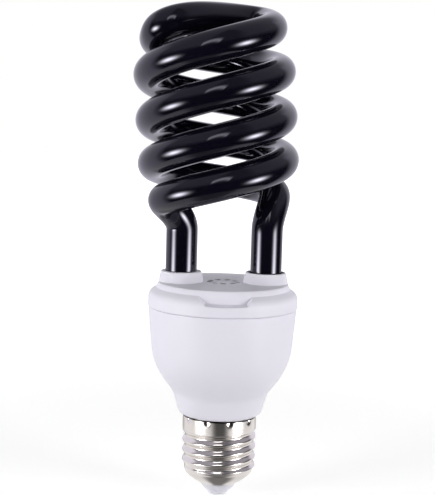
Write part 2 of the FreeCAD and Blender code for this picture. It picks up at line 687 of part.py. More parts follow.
CLEAR_OF_BULK = "(bulk_diameter / 2 + component_gap)"
CHOKE_WINDOW = "(choke_height - 2 * choke_yoke)"
BOBBIN_WIDTH = "(choke_leg + 2 * bobbin_wall)"
BOBBIN_DEPTH = "(choke_core_depth + 2 * bobbin_wall)"
WINDING_WIDTH = f"({BOBBIN_WIDTH} + 2 * winding_depth)"
WINDING_DEPTH = f"({BOBBIN_DEPTH} + 2 * winding_depth)"
RING_SPAN = "(ring_diameter + 2 * wire_diameter)"
RING_INNER = "ring_bore / 2"
RING_OUTER = "ring_diameter / 2"
RING_TOP = "-wire_diameter"
RING_BOTTOM = "-(wire_diameter + ring_height)"
RING_SECTION = [(RING_INNER, RING_BOTTOM), (RING_OUTER, RING_BOTTOM), (RING_OUTER, RING_TOP),
                (RING_INNER, RING_TOP)]
DRIVE_WINDINGS = 3


def flat_share(width, set_back="0"):
    """Half the angle that a flat-sided part takes up round the bulk capacitor."""
    return f"atan(({width}) / 2 / ({CLEAR_OF_BULK} + {set_back}))"


def round_share(span):
    """Half the angle that a round part takes up."""
    return f"asin(({span}) / 2 / ({CLEAR_OF_BULK} + ({span}) / 2))"


# The parts round the bulk capacitor in their order, each with half the angle that it takes up
SHARES = {
    "choke": flat_share("choke_width", f"({WINDING_DEPTH} - choke_core_depth) / 2"),
    "resonant": flat_share("film_width"),
    "ring": round_share(RING_SPAN),
    "second_transistor": flat_share("transistor_width"),
    "live": round_share("mains_diameter"),
    "neutral": round_share("mains_diameter"),
    "first_transistor": flat_share("transistor_width"),
    "filter": round_share("filter_diameter"),
    "coupling": flat_share("film_width"),
}
ANGLES = {}
reached = "0 deg"
for name, share in SHARES.items():
    ANGLES[name] = f"({reached} + {share})"
    reached = f"{reached} + 2 * {share} + component_angle * 1 deg"


def choke_core():
    body = new_body("choke_core")
    half, leg, inner = "choke_width / 2", "choke_leg / 2", "(choke_width / 2 - choke_yoke)"
    top, bottom = "-choke_yoke", "-(choke_height - choke_yoke)"
    sketch = new_sketch(body, "XZ_Plane")
    add_loop(sketch, [(f"-{half}", "-choke_height"), (half, "-choke_height"), (half, "0"), (f"-{half}", "0")])
    add_loop(sketch, [(leg, bottom), (inner, bottom), (inner, top), (leg, top)])
    add_loop(sketch, [(f"-{inner}", bottom), (f"-{leg}", bottom), (f"-{leg}", top), (f"-{inner}", top)])
    pad(body, sketch, "choke_core_depth", midplane=True)
    hang(body, WINDING_DEPTH, ANGLES["choke"])


def choke_bobbin():
    body = new_body("choke_bobbin")
    for bottom, height, width, depth in (
            (f"-choke_yoke - {CHOKE_WINDOW}", CHOKE_WINDOW, BOBBIN_WIDTH, BOBBIN_DEPTH),
            ("-choke_yoke - bobbin_wall", "bobbin_wall", WINDING_WIDTH, WINDING_DEPTH),
            (f"-choke_yoke - {CHOKE_WINDOW}", "bobbin_wall", WINDING_WIDTH, WINDING_DEPTH)):
        sketch = new_sketch(body, "XY_Plane", bottom)
        add_rectangle(sketch, width, depth)
        add_rectangle(sketch, "choke_leg", "choke_core_depth")
        pad(body, sketch, height)
    hang(body, WINDING_DEPTH, ANGLES["choke"])


def choke_winding():
    body = new_body("choke_winding")
    sketch = new_sketch(body, "XY_Plane", f"-choke_yoke - {CHOKE_WINDOW} + bobbin_wall")
    add_rectangle(sketch, WINDING_WIDTH, WINDING_DEPTH)
    add_rectangle(sketch, BOBBIN_WIDTH, BOBBIN_DEPTH)
    pad(body, sketch, f"{CHOKE_WINDOW} - 2 * bobbin_wall")
    hang(body, WINDING_DEPTH, ANGLES["choke"])


def drive_ring():
    body = new_body("drive_ring")
    revolve(body, RING_SECTION)
    hang(body, RING_SPAN, ANGLES["ring"])


def drive_winding(index):
    body = new_body(f"drive_winding_{index}")
    inner, outer = f"{RING_INNER} - wire_diameter", f"{RING_OUTER} + wire_diameter"
    bottom = f"{RING_BOTTOM} - wire_diameter"
    turn = revolve(body, [(inner, bottom), (outer, bottom), (outer, "0"), (inner, "0")], "winding_arc")
    add_loop(turn.Profile[0], RING_SECTION)
    doc.recompute()
    hang(body, RING_SPAN, ANGLES["ring"])
    tie(body, "Placement.Rotation.Angle", f"{ANGLES['ring']} + {index} * 360 deg / {DRIVE_WINDINGS}")


def transistor(label, angle):
    body = new_body(label)
    front = new_sketch(body, "XZ_Plane")
    top, bottom = "-transistor_legs", "-(transistor_legs + transistor_height)"
    half = "transistor_width / 2"
    add_loop(front, [(f"-{half}", bottom), (half, bottom), (half, top), (f"-{half}", top)])
    add_circle(front, "0", f"{bottom} + transistor_width / 2", "transistor_hole / 2")
    pad(body, front, "transistor_depth", midplane=True)
    legs = new_sketch(body, "XY_Plane", "-transistor_legs")
    for place_across in ("-transistor_pitch", "0 * transistor_pitch", "transistor_pitch"):
        low, high = f"{place_across} - wire_diameter / 2", f"{place_across} + wire_diameter / 2"
        add_loop(legs, [(low, "-wire_diameter / 2"), (high, "-wire_diameter / 2"),
                        (high, "wire_diameter / 2"), (low, "wire_diameter / 2")])
    pad(body, legs, "transistor_legs")
    hang(body, "transistor_depth", angle)


def film_capacitor(label, angle):
    block = doc.addObject("Part::Box", label + "_block")
    tie(block, "Length", "film_width")
    tie(block, "Width", "film_depth")
    tie(block, "Height", "film_height")
    place(block, across="-film_width / 2", along="-film_depth / 2", up="-film_height")
    doc.recompute()
    rounded = doc.addObject("Part::Fillet", label)
    rounded.Base = block
    radius = size("film_rounding")
    uprights = [i for i, edge in enumerate(block.Shape.Edges, start=1) if abs(edge.tangentAt(0).z) > 0.5]
    rounded.Edges = [(i, radius, radius) for i in uprights]
    rounded.Label = label
    doc.recompute()
    pieces.append(rounded)
    hang(rounded, "film_depth", angle)


def filter_choke_core():
    body = new_body("filter_choke_core")
    rim, middle = "filter_diameter / 2", "filter_waist / 2"
    upper, lower = "-filter_flange", "-(filter_height - filter_flange)"
    revolve(body, [("0", "-filter_height"), (rim, "-filter_height"), (rim, lower), (middle, lower),
                   (middle, upper), (rim, upper), (rim, "0"), ("0", "0")])
    hang(body, "filter_diameter", ANGLES["filter"])


def filter_choke_winding():
    body = new_body("filter_choke_winding")
    rim, middle = "(filter_diameter / 2 - wire_diameter)", "filter_waist / 2"
    upper, lower = "-filter_flange", "-(filter_height - filter_flange)"
    revolve(body, [(middle, lower), (rim, lower), (rim, upper), (middle, upper)])
    hang(body, "filter_diameter", ANGLES["filter"])


def lying_part(label, diameter, length, row):
    """A round part lying on the board along X, with its leads turned down to the board."""
    body = doc.addObject("Part::Cylinder", label + "_body")
    tie(body, "Radius", f"{diameter} / 2")
    tie(body, "Height", length)
    body.Placement = FreeCAD.Placement(FreeCAD.Vector(), FreeCAD.Rotation(FreeCAD.Vector(0, 1, 0), 90))
    place(body, across=f"-{length} / 2", up=f"{diameter} / 2")
    reach, level = number(f"{length} / 2 + lead_reach"), number(f"{diameter} / 2")
    corners = [(-reach, 0), (-reach, level), (reach, level), (reach, 0)]
    route = rounded_run([FreeCAD.Vector(across, 0, up) for across, up in corners])
    wire = tube_along(label + "_wire", route, "wire_diameter / 2")
    pieces.remove(wire)
    joined = doc.addObject("Part::Fuse", label)
    joined.Base = body
    joined.Tool = wire
    joined.Label = label
    doc.recompute()
    pieces.append(joined)
    place(joined, along=f"{row} * row_spacing", up=BOARD_TOP)


def filament_pin(index, side, end):
    pin = doc.addObject("Part::Box", f"filament_pin_{index}")
    tie(pin, "Length", "pin_thickness")
    tie(pin, "Width", "pin_thickness")
    tie(pin, "Height", "pin_height")
    place(pin, across=f"{side} * pin_across / 2 - pin_thickness / 2",
          along=f"{end} * pin_along / 2 - pin_thickness / 2", up=BOARD_TOP)
    doc.recompute()
    pieces.append(pin)


def filament_lead(index, side, end):
    """A lead from the tube's end, down and across to its pin."""
    across, along = side * size("leg_spacing") / 2, end * size("filament_spacing") / 2
    start = FreeCAD.Vector(across, along, number(TUBE_END))
    low = number(f"({TUBE_END} + {BOARD_TOP}) / 2")
    pin = FreeCAD.Vector(side * size("pin_across") / 2, end * size("pin_along") / 2, low)
    turn = FreeCAD.Vector(start.x, start.y, low)
    stop = pin - FreeCAD.Vector(0, end * size("pin_thickness") / 2, 0)
    bend = FreeCAD.Vector(stop.x, (stop.y + turn.y) / 2, low)
    tube_along(f"filament_lead_{index}", rounded_run([start, turn, bend, stop]), "filament_diameter / 2")


def around(angle, radius, height):
    turn = math.radians(angle)
    return FreeCAD.Vector(radius * math.cos(turn), radius * math.sin(turn), height)


def mains_leads():
    """The live lead from the contact's stem and the neutral lead from the shell, up to the board."""
    beside = number(f"{CLEAR_OF_BULK} + mains_diameter / 2")
    in_tail = number(f"{TAIL_RADIUS} - housing_wall - mains_diameter")
    board = number(BOARD_BOTTOM)
    foot = number("cap_height - tail_length")
    waist = size("waist_height")
    stem_top = number(INSULATOR_TOP)
    live = number(f"{ANGLES['live']} / 1 deg")
    tube_along("live_lead", rounded_run([
        around(live, 0, stem_top), around(live, 0, (stem_top + foot) / 2), around(live, in_tail, foot),
        around(live, in_tail, size("cap_height") + size("housing_wall")),
        around(live, beside, waist), around(live, beside, board)]), "mains_diameter / 2")
    neutral = number(f"{ANGLES['neutral']} / 1 deg")
    shell = number(f"{SHELL_INSIDE} - mains_diameter / 2")
    tube_along("neutral_lead", rounded_run([
        around(neutral, shell, number("shell_taper_height + thread_pitch")),
        around(neutral, shell, number("cap_height - tail_length - neutral_bend")),
        around(neutral, in_tail, number("cap_height - tail_length - mains_diameter")),
        around(neutral, in_tail, size("cap_height") + size("housing_wall")),
        around(neutral, beside, waist), around(neutral, beside, board)]), "mains_diameter / 2")


glass_tube()
tube_cover()
for side in ("-", ""):
    tube_cement(side)
ballast_housing()
screw_shell()
base_insulator()
centre_contact()
circuit_board()
bulk_capacitor()
choke_core()
choke_bobbin()
choke_winding()
drive_ring()
for index in range(1, DRIVE_WINDINGS + 1):
    drive_winding(index)
transistor("power_transistor_1", ANGLES["first_transistor"])
transistor("power_transistor_2", ANGLES["second_transistor"])
film_capacitor("resonant_capacitor", ANGLES["resonant"])
film_capacitor("coupling_capacitor", ANGLES["coupling"])
filter_choke_core()
filter_choke_winding()
# Rows of the parts that lie on the board, counted from its middle towards the back
DIODE_ROWS = (-4, -3, -2, -1)
RESISTOR_ROWS = (0, 1)
FUSE_ROW = 3
for index, row in enumerate(DIODE_ROWS, start=1):
    lying_part(f"rectifier_diode_{index}", "diode_diameter", "diode_length", row)
for index, row in enumerate(RESISTOR_ROWS, start=1):
    lying_part(f"base_resistor_{index}", "resistor_diameter", "resistor_length", row)
lying_part("fuse_resistor", "fuse_diameter", "fuse_length", FUSE_ROW)
corners = [(-1, -1), (-1, 1), (1, -1), (1, 1)]
for index, (side, end) in enumerate(corners, start=1):
    filament_pin(index, side, end)
    filament_lead(index, side, end)
mains_leads()

doc.recompute()
for thing in doc.Objects:
    assert not {"Invalid", "Error"} & set(thing.State), f"{thing.Label} is {thing.State}"
for piece in pieces:
    assert not piece.Shape.isNull() and piece.Shape.isValid(), f"{piece.Label} has no sound shape"
os.makedirs("parts", exist_ok=True)
for piece in pieces:
    piece.Shape.exportStep(f"parts/{piece.Label}.step")
    print(piece.Label, len(piece.Shape.Solids), round(piece.Shape.Volume, 1))
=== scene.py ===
# %% [markdown]
# A spiral black light lamp, dressed for its portrait
#
# The lamp is a dark glass tube, coiled as two strands, on a white plastic body with a nickel screw base.
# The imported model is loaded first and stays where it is. It gives every place and size, so each new piece
# is made at its own place, in metres, with no fitting afterwards.

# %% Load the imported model
import json
import math

import bmesh
import bpy
from mathutils import Euler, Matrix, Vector


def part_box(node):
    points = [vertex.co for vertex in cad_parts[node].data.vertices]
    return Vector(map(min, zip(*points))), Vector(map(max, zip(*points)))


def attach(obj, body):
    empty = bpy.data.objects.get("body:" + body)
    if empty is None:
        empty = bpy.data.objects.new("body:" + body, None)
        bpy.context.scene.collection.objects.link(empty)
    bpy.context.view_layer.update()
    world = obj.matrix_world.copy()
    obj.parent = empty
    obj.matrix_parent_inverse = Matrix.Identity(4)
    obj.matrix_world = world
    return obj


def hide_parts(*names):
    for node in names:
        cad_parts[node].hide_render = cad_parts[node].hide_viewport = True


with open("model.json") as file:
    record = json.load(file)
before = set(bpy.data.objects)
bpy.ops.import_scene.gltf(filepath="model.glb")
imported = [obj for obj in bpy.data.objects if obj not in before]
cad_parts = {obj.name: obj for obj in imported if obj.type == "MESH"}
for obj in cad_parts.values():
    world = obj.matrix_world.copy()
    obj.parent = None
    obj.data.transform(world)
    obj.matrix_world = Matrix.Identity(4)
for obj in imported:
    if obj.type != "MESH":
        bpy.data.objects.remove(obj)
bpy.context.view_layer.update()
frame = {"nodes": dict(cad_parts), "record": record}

MM = 0.001
scene = bpy.context.scene
print("nodes:", len(frame["nodes"]))

# %% [markdown]
# Sizes
#
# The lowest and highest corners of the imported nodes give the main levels. The other sizes are those of the
# moulded and rolled profiles, in millimetres, because a drawing of such a lamp would give them so.

# %% Levels and widths, in millimetres
def corner(node, which):
    """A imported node's lowest (0) or highest (1) corner, in millimetres."""
    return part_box(node)[which] / MM


SHELL_TOP = corner("screw_shell", 1).z
SHELL_FOOT = corner("screw_shell", 0).z
CREST_RADIUS = corner("screw_shell", 1).x
SEAM = corner("ballast_housing", 1).z
HOUSING_RADIUS = corner("ballast_housing", 1).x
TAIL_BOTTOM = corner("ballast_housing", 0).z
COVER_RADIUS = corner("tube_cover", 1).x
COVER_BOTTOM = corner("tube_cover", 0).z
COLLAR_TOP = corner("tube_cover", 1).z
TUBE_END = corner("glass_tube", 0).z
SOCKET_BOTTOM = corner("right_tube_cement", 0).z
LEG_AXIS = (corner("right_tube_cement", 0).x + corner("right_tube_cement", 1).x) / 2
INSULATOR_TOP = corner("base_insulator", 1).z
INSULATOR_RADIUS = corner("base_insulator", 1).x
print("shell top", round(SHELL_TOP, 2), "seam", round(SEAM, 2), "legs at", round(LEG_AXIS, 2))

# %% [markdown]
# A shared grain
#
# Moulded plastic, cement and cast parts all have a faint grain. It could be painted into each material, but
# a shader group with its own values in each material keeps one recipe for all of them. A second group gives
# the soft patches of haze that handling leaves on anything shiny.

# %% Shader groups
def shader_group(name, inputs, outputs):
    tree = bpy.data.node_groups.new(name, "ShaderNodeTree")
    for label, value in inputs.items():
        socket = tree.interface.new_socket(label, in_out="INPUT", socket_type="NodeSocketFloat")
        socket.default_value = value
    for label in outputs:
        tree.interface.new_socket(label, in_out="OUTPUT", socket_type="NodeSocketFloat")
    return tree, tree.nodes.new("NodeGroupInput").outputs, tree.nodes.new("NodeGroupOutput").inputs


def feed(tree, socket, value):
    """Gives a socket a number, or links another socket to it."""
    if isinstance(value, (int, float)):
        socket.default_value = value
    else:
        tree.links.new(value, socket)


def noise_in(tree, scale, detail):
    """A noise over the object's own coordinates; scale is a number or a socket."""
    place = tree.nodes.new("ShaderNodeTexCoord")
    noise = tree.nodes.new("ShaderNodeTexNoise")
    noise.inputs["Detail"].default_value = detail
    tree.links.new(place.outputs["Object"], noise.inputs["Vector"])
    feed(tree, noise.inputs["Scale"], scale)
    return noise.outputs["Fac"]


def spread(tree, share, low, high):
    """Stretches a share of 0 to 1 between two sockets or numbers."""
    node = tree.nodes.new("ShaderNodeMapRange")
    node.clamp = True
    tree.links.new(share, node.inputs["Value"])
    feed(tree, node.inputs["To Min"], low)
    feed(tree, node.inputs["To Max"], high)
    return node.outputs["Result"]


def sums(tree):
    """A short way to write sums with the sockets of one tree."""
    def work(operation, *values):
        node = tree.nodes.new("ShaderNodeMath")
        node.operation = operation
        for socket, value in zip(node.inputs, values):
            feed(tree, socket, value)
        return node.outputs["Value"]

    return work


def step_between(tree, value, start, end, low=0.0, high=1.0):
    """A smooth step of a socket, from low at start to high at end; each is a number or a socket."""
    node = tree.nodes.new("ShaderNodeMapRange")
    node.interpolation_type = "SMOOTHSTEP"
    tree.links.new(value, node.inputs["Value"])
    for label, level in (("From Min", start), ("From Max", end), ("To Min", low), ("To Max", high)):
        feed(tree, node.inputs[label], level)
    return node.outputs["Result"]


def make_grain_group():
    sizes = {"Grains per metre": 2600.0, "Patches per metre": 60.0}
    tree, given, wanted = shader_group("moulded_grain", sizes, ["Height", "Tint"])
    tree.links.new(noise_in(tree, given["Grains per metre"], 3.0), wanted["Height"])
    tree.links.new(noise_in(tree, given["Patches per metre"], 2.0), wanted["Tint"])
    return tree


def make_haze_group():
    sizes = {"Clean roughness": 0.1, "Hazy roughness": 0.2, "Patches per metre": 90.0}
    tree, given, wanted = shader_group("handling_haze", sizes, ["Roughness"])
    patches = noise_in(tree, given["Patches per metre"], 4.0)
    rough = spread(tree, patches, given["Clean roughness"], given["Hazy roughness"])
    tree.links.new(rough, wanted["Roughness"])
    return tree


GRAIN = make_grain_group()
HAZE = make_haze_group()
print("shader groups:", GRAIN.name, HAZE.name)

# %% [markdown]
# Finishes
#
# Each finish is one material: a shader of its own, colour that drifts a little from place to place, haze in
# the gloss, and a grain that stands up as bump. The black glass is nearly opaque, with a breath of violet.
# The plastic is a satin, faintly lavender white. The nickel is bright and a little warm.

# %% Build a finish from its values
def place_group(tree, group, values):
    node = tree.nodes.new("ShaderNodeGroup")
    node.node_tree = group
    for label, value in values.items():
        node.inputs[label].default_value = value
    return node.outputs


def finish(name, colour, second, clean, hazy, grains, depth, metallic=0.0, ior=1.46,
           gloss=(1.0, 1.0, 1.0), patches=60.0):
    """A material from two colours, two roughnesses and a grain's fineness and depth."""
    material = bpy.data.materials.new(name)
    material.use_nodes = True
    tree = material.node_tree
    shader = tree.nodes["Principled BSDF"]
    grain = place_group(tree, GRAIN, {"Grains per metre": grains, "Patches per metre": patches})
    haze = place_group(tree, HAZE, {"Clean roughness": clean, "Hazy roughness": hazy})
    mix = tree.nodes.new("ShaderNodeMix")
    mix.data_type = "RGBA"
    mix.inputs["A"].default_value = (*colour, 1.0)
    mix.inputs["B"].default_value = (*second, 1.0)
    tree.links.new(grain["Tint"], mix.inputs["Factor"])
    tree.links.new(mix.outputs["Result"], shader.inputs["Base Color"])
    tree.links.new(haze["Roughness"], shader.inputs["Roughness"])
    bump = tree.nodes.new("ShaderNodeBump")
    bump.inputs["Strength"].default_value = 1.0
    bump.inputs["Distance"].default_value = depth * MM
    tree.links.new(grain["Height"], bump.inputs["Height"])
    tree.links.new(bump.outputs["Normal"], shader.inputs["Normal"])
    shader.inputs["Metallic"].default_value = metallic
    shader.inputs["IOR"].default_value = ior
    shader.inputs["Specular Tint"].default_value = (*gloss, 1.0)
    return material


FINISHES = {
    "black_glass": finish("black_glass", (0.0022, 0.0020, 0.0045), (0.0050, 0.0042, 0.0100), 0.05, 0.10,
                          400.0, 0.002, ior=1.52, gloss=(0.88, 0.86, 1.0)),
    "white_plastic": finish("white_plastic", (0.82, 0.80, 0.88), (0.79, 0.772, 0.852), 0.46, 0.58,
                            2600.0, 0.006),
    "nickel_shell": finish("nickel_shell", (0.80, 0.76, 0.735), (0.70, 0.65, 0.62), 0.12, 0.22,
                           900.0, 0.004, metallic=1.0),
    "pale_insulator": finish("pale_insulator", (0.84, 0.83, 0.90), (0.81, 0.80, 0.87), 0.28, 0.42,
                             2000.0, 0.006),
    "tinned_contact": finish("tinned_contact", (0.84, 0.83, 0.90), (0.80, 0.79, 0.86), 0.30, 0.45,
                             1200.0, 0.01),
    "cement": finish("cement", (0.62, 0.60, 0.55), (0.50, 0.48, 0.44), 0.85, 0.95, 1500.0, 0.08),
    "board": finish("board", (0.40, 0.26, 0.11), (0.33, 0.21, 0.09), 0.55, 0.70, 1800.0, 0.01),
    "black_sleeve": finish("black_sleeve", (0.02, 0.02, 0.025), (0.03, 0.03, 0.035), 0.30, 0.42,
                           1200.0, 0.006),
    "ferrite": finish("ferrite", (0.05, 0.05, 0.055), (0.08, 0.08, 0.085), 0.70, 0.85, 1600.0, 0.02),
    "bobbin": finish("bobbin", (0.66, 0.63, 0.53), (0.60, 0.57, 0.47), 0.45, 0.60, 2200.0, 0.006),
    "copper_wire": finish("copper_wire", (0.72, 0.33, 0.14), (0.55, 0.24, 0.09), 0.22, 0.35, 1500.0, 0.02,
                          metallic=1.0),
    "black_mould": finish("black_mould", (0.025, 0.025, 0.025), (0.04, 0.04, 0.04), 0.50, 0.65, 2400.0, 0.01),
    "red_film": finish("red_film", (0.36, 0.06, 0.04), (0.28, 0.045, 0.03), 0.22, 0.35, 900.0, 0.01),
    "resistor_body": finish("resistor_body", (0.58, 0.44, 0.27), (0.50, 0.37, 0.22), 0.35, 0.50,
                            1500.0, 0.008),
    "tinned_wire": finish("tinned_wire", (0.72, 0.71, 0.70), (0.62, 0.61, 0.60), 0.20, 0.35, 1500.0, 0.006,
                          metallic=1.0),
    "red_lead": finish("red_lead", (0.42, 0.03, 0.025), (0.36, 0.025, 0.02), 0.40, 0.55, 1500.0, 0.006),
    "black_lead": finish("black_lead", (0.02, 0.02, 0.02), (0.03, 0.03, 0.03), 0.40, 0.55, 1500.0, 0.006),
}
print("finishes:", len(FINISHES))

# %% [markdown]
# A line of painted shade
#
# The seam where the nickel meets the housing lies in shade, and that shade is painted on as a thin dark line.
# It could be a separate ring, but it has no thickness to speak of, so the nickel's colour darkens by height.

# %% A line of painted shade on the nickel, close under the housing
# Painted shade: the heights below the housing over which the nickel darkens, and the dark colour painted
# there
SEAM_SHADE_HEIGHTS = (0.85, 0.45)
SEAM_SHADE_COLOUR = (0.03, 0.026, 0.025, 1.0)


def painted_seam_shade(material, start, end):
    """Darkens a metal between two levels and above, as painted shade in the seam under the housing."""
    tree = material.node_tree
    colour = tree.nodes["Principled BSDF"].inputs["Base Color"]
    # The nickel's colour before the painted shade is mixed in
    clean = colour.links[0].from_socket
    place = tree.nodes.new("ShaderNodeTexCoord")
    parts = tree.nodes.new("ShaderNodeSeparateXYZ")
    tree.links.new(place.outputs["Object"], parts.inputs["Vector"])
    mix = tree.nodes.new("ShaderNodeMix")
    mix.data_type = "RGBA"
    mix.inputs["B"].default_value = SEAM_SHADE_COLOUR
    tree.links.new(step_between(tree, parts.outputs["Z"], start, end), mix.inputs["Factor"])
    tree.links.new(clean, mix.inputs["A"])
    tree.links.new(mix.outputs["Result"], colour)


# Paints the shade line on the nickel close under the housing, and prints where the painted shade starts
painted_seam_shade(FINISHES["nickel_shell"], *((SHELL_TOP - below) * MM for below in SEAM_SHADE_HEIGHTS))
print("grime starts", SEAM_SHADE_HEIGHTS[0], "mm below the housing")

# %% [markdown]
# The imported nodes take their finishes
#
# The ballast sits out of sight inside the body, but it is part of the lamp. Its solids are right as they
# are, so each node only takes the finish that the record names for it.

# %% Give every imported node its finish
def dress_nodes():
    slots = {part["node"]: part["material_slot"] for part in frame["record"]["subparts"]}
    for name, node in frame["nodes"].items():
        node.data.materials.clear()
        node.data.materials.append(FINISHES[slots[name]])


dress_nodes()
print("dressed:", len(frame["nodes"]))

# %% [markdown]
# Pieces turned on the axis
#
# The body, the cover and the tip are round about one axis, as they come out of a mould or off a lathe. A
# profile of corners, each with its rounding, is turned round the axis. It could be done with a Screw
# modifier, but a few lines of bmesh keep the seam closed and the poles whole.

# %% Helpers for turned pieces
TURN_STEPS = 192
ARC_STEP = math.radians(6)
SHARP_ANGLE = math.radians(30)
ON_AXIS = 1e-6


def rounded_outline(corners):
    """Corners as (radius, height, rounding), with each rounding drawn as an arc."""
    points = []
    for i, (radius, height, rounding) in enumerate(corners):
        here = Vector((radius, height))
        if rounding == 0:
            points.append(here)
            continue
        before = (Vector(corners[i - 1][:2]) - here).normalized()
        after = (Vector(corners[(i + 1) % len(corners)][:2]) - here).normalized()
        half = before.angle(after) / 2
        centre = here + (before + after).normalized() * (rounding / math.sin(half))
        reach = rounding / math.tan(half)
        first = here + before * reach - centre
        last = here + after * reach - centre
        start = math.atan2(first.y, first.x)
        sweep = (math.atan2(last.y, last.x) - start + math.pi) % (2 * math.pi) - math.pi
        steps = max(2, math.ceil(abs(sweep) / ARC_STEP))
        for k in range(steps + 1):
            angle = start + sweep * k / steps
            points.append(centre + rounding * Vector((math.cos(angle), math.sin(angle))))
    return points


def turned_mesh(name, corners, axis=0.0):
    """A closed mesh of the rounded outline, turned about an upright axis at the given place across."""
    shape = bmesh.new()
    rings = []
    for radius, height in rounded_outline(corners):
        count = 1 if radius < ON_AXIS else TURN_STEPS
        angles = [2 * math.pi * k / TURN_STEPS for k in range(count)]
        places = [(axis + radius * math.cos(a), radius * math.sin(a), height) for a in angles]
        rings.append([shape.verts.new([value * MM for value in place]) for place in places])
    closed = corners[0][0] > ON_AXIS
    pairs = zip(rings, rings[1:] + rings[:1]) if closed else zip(rings, rings[1:])
    for low, high in pairs:
        for k in range(TURN_STEPS):
            ahead = (k + 1) % TURN_STEPS
            around = [low[k % len(low)], low[ahead % len(low)], high[ahead % len(high)], high[k % len(high)]]
            face = list(dict.fromkeys(around))
            if len(face) > 2:
                shape.faces.new(face)
    bmesh.ops.recalc_face_normals(shape, faces=shape.faces)
    mesh = bpy.data.meshes.new(name)
    shape.to_mesh(mesh)
    shape.free()
    return mesh


def new_piece(name, mesh):
    piece = bpy.data.objects.new(name, mesh)
    scene.collection.objects.link(piece)
    return piece


def settle(piece):
    """Turns a piece's modifiers into plain mesh."""
    seen = bpy.context.evaluated_depsgraph_get()
    mesh = bpy.data.meshes.new_from_object(piece.evaluated_get(seen))
    piece.modifiers.clear()
    old = piece.data
    piece.data = mesh
    bpy.data.meshes.remove(old)


def combine(piece, tool, operation):
    """Cuts a tool out of a piece, or joins it to the piece, and drops the tool."""
    step = piece.modifiers.new("combine", "BOOLEAN")
    step.operation = operation
    step.solver = "EXACT"
    step.object = tool
    settle(piece)
    bpy.data.objects.remove(tool)


def smooth(piece, slot):
    """Soft shading with sharp corners kept, and the finish of a slot."""
    piece.data.materials.clear()
    piece.data.materials.append(FINISHES[slot])
    piece.data.shade_smooth()
    piece.data.set_sharp_from_angle(angle=SHARP_ANGLE)


def mount(piece, slot, *nodes):
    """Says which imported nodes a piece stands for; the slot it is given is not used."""
    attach(piece, "root")
    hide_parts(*nodes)
    triangles = sum(len(face.vertices) - 2 for face in piece.data.polygons)
    print(piece.name, "stands for", nodes, "with", triangles, "triangles")


# %% [markdown]
# Ballast housing
#
# A moulded bowl on a neck. Its top edge is stepped in, so that a thin shadow line shows at the seam, as on
# most two-piece mouldings. The inside follows the outside at one wall thickness.

# %% Turn the housing
NECK_FOOT = (14.6, 2.4)
WAIST = (16.85, 37.1, 9.0)
SHOULDER = (24.5, 47.4, 24.0)
HOUSING_WALL = 2.0
TAIL_GAP = 0.95
SHADOW_GAP = 0.22
SHADOW_DEPTH = 0.5
SEAM_ROUNDING = 0.2


def make_housing():
    tail = CREST_RADIUS - TAIL_GAP
    inside = tail - HOUSING_WALL
    corners = [
        (tail, TAIL_BOTTOM, 0), (tail, SHELL_TOP, 0),
        (NECK_FOOT[0], SHELL_TOP, NECK_FOOT[1]), WAIST, SHOULDER,
        (HOUSING_RADIUS, SEAM - SHADOW_GAP, SEAM_ROUNDING),
        (HOUSING_RADIUS - SHADOW_DEPTH, SEAM - SHADOW_GAP, 0),
        (HOUSING_RADIUS - SHADOW_DEPTH, SEAM, 0), (HOUSING_RADIUS - HOUSING_WALL, SEAM, 0),
        (SHOULDER[0] - HOUSING_WALL, SHOULDER[1], SHOULDER[2] - HOUSING_WALL),
        (WAIST[0] - HOUSING_WALL, WAIST[1], 0),
        (inside, SHELL_TOP + HOUSING_WALL, 0), (inside, TAIL_BOTTOM, 0),
    ]
    piece = new_piece("white_housing", turned_mesh("white_housing", corners))
    smooth(piece, "white_plastic")
    mount(piece, "white_plastic", "ballast_housing")


make_housing()

# %% [markdown]
# Tube cover
#
# The cover is a skirt ring with a ledge, and a deck with a rim. Two notches are cut through the ring before
# the deck joins it, so that the rim's wall stands whole behind them. Two collars take the tube's legs. The
# ring of vents is the same small drill repeated on a circle, so Geometry Nodes place it. The deck is thinner
# at the vents and is drilled while it is a plain plate, because a cut through rounded edges can leave scraps.

# %% A tree that repeats a drill on a circle
def geometry_tree(name, inputs):
    """A Geometry Nodes tree with a geometry in and out and the named inputs."""
    tree = bpy.data.node_groups.new(name, "GeometryNodeTree")
    tree.interface.new_socket("Geometry", in_out="INPUT", socket_type="NodeSocketGeometry")
    for label, kind in inputs.items():
        tree.interface.new_socket(label, in_out="INPUT", socket_type="NodeSocket" + kind)
    tree.interface.new_socket("Geometry", in_out="OUTPUT", socket_type="NodeSocketGeometry")
    return tree, tree.nodes.new("NodeGroupInput").outputs, tree.nodes.new("NodeGroupOutput").inputs


def join(tree, *sockets):
    for source, target in zip(sockets[::2], sockets[1::2]):
        tree.links.new(source, target)


def last_steps(tree, geometry, given, wanted):
    """Every tree ends by making its copies real and giving them their finish."""
    real = tree.nodes.new("GeometryNodeRealizeInstances")
    coat = tree.nodes.new("GeometryNodeSetMaterial")
    join(tree, geometry, real.inputs["Geometry"], real.outputs["Geometry"], coat.inputs["Geometry"],
         given["Finish"], coat.inputs["Material"], coat.outputs["Geometry"], wanted["Geometry"])


def add_tree(piece, tree, values):
    """Puts a tree on an object, with its inputs set by their identifiers."""
    modifier = piece.modifiers.new(tree.name, "NODES")
    modifier.node_group = tree
    for item in tree.interface.items_tree:
        if item.in_out == "INPUT" and item.name in values:
            modifier[item.identifier] = values[item.name]


def run_tree(piece, tree, values):
    """Runs a tree on a piece, and keeps the plain mesh."""
    add_tree(piece, tree, values)
    settle(piece)


DRILL_SIDES = 24


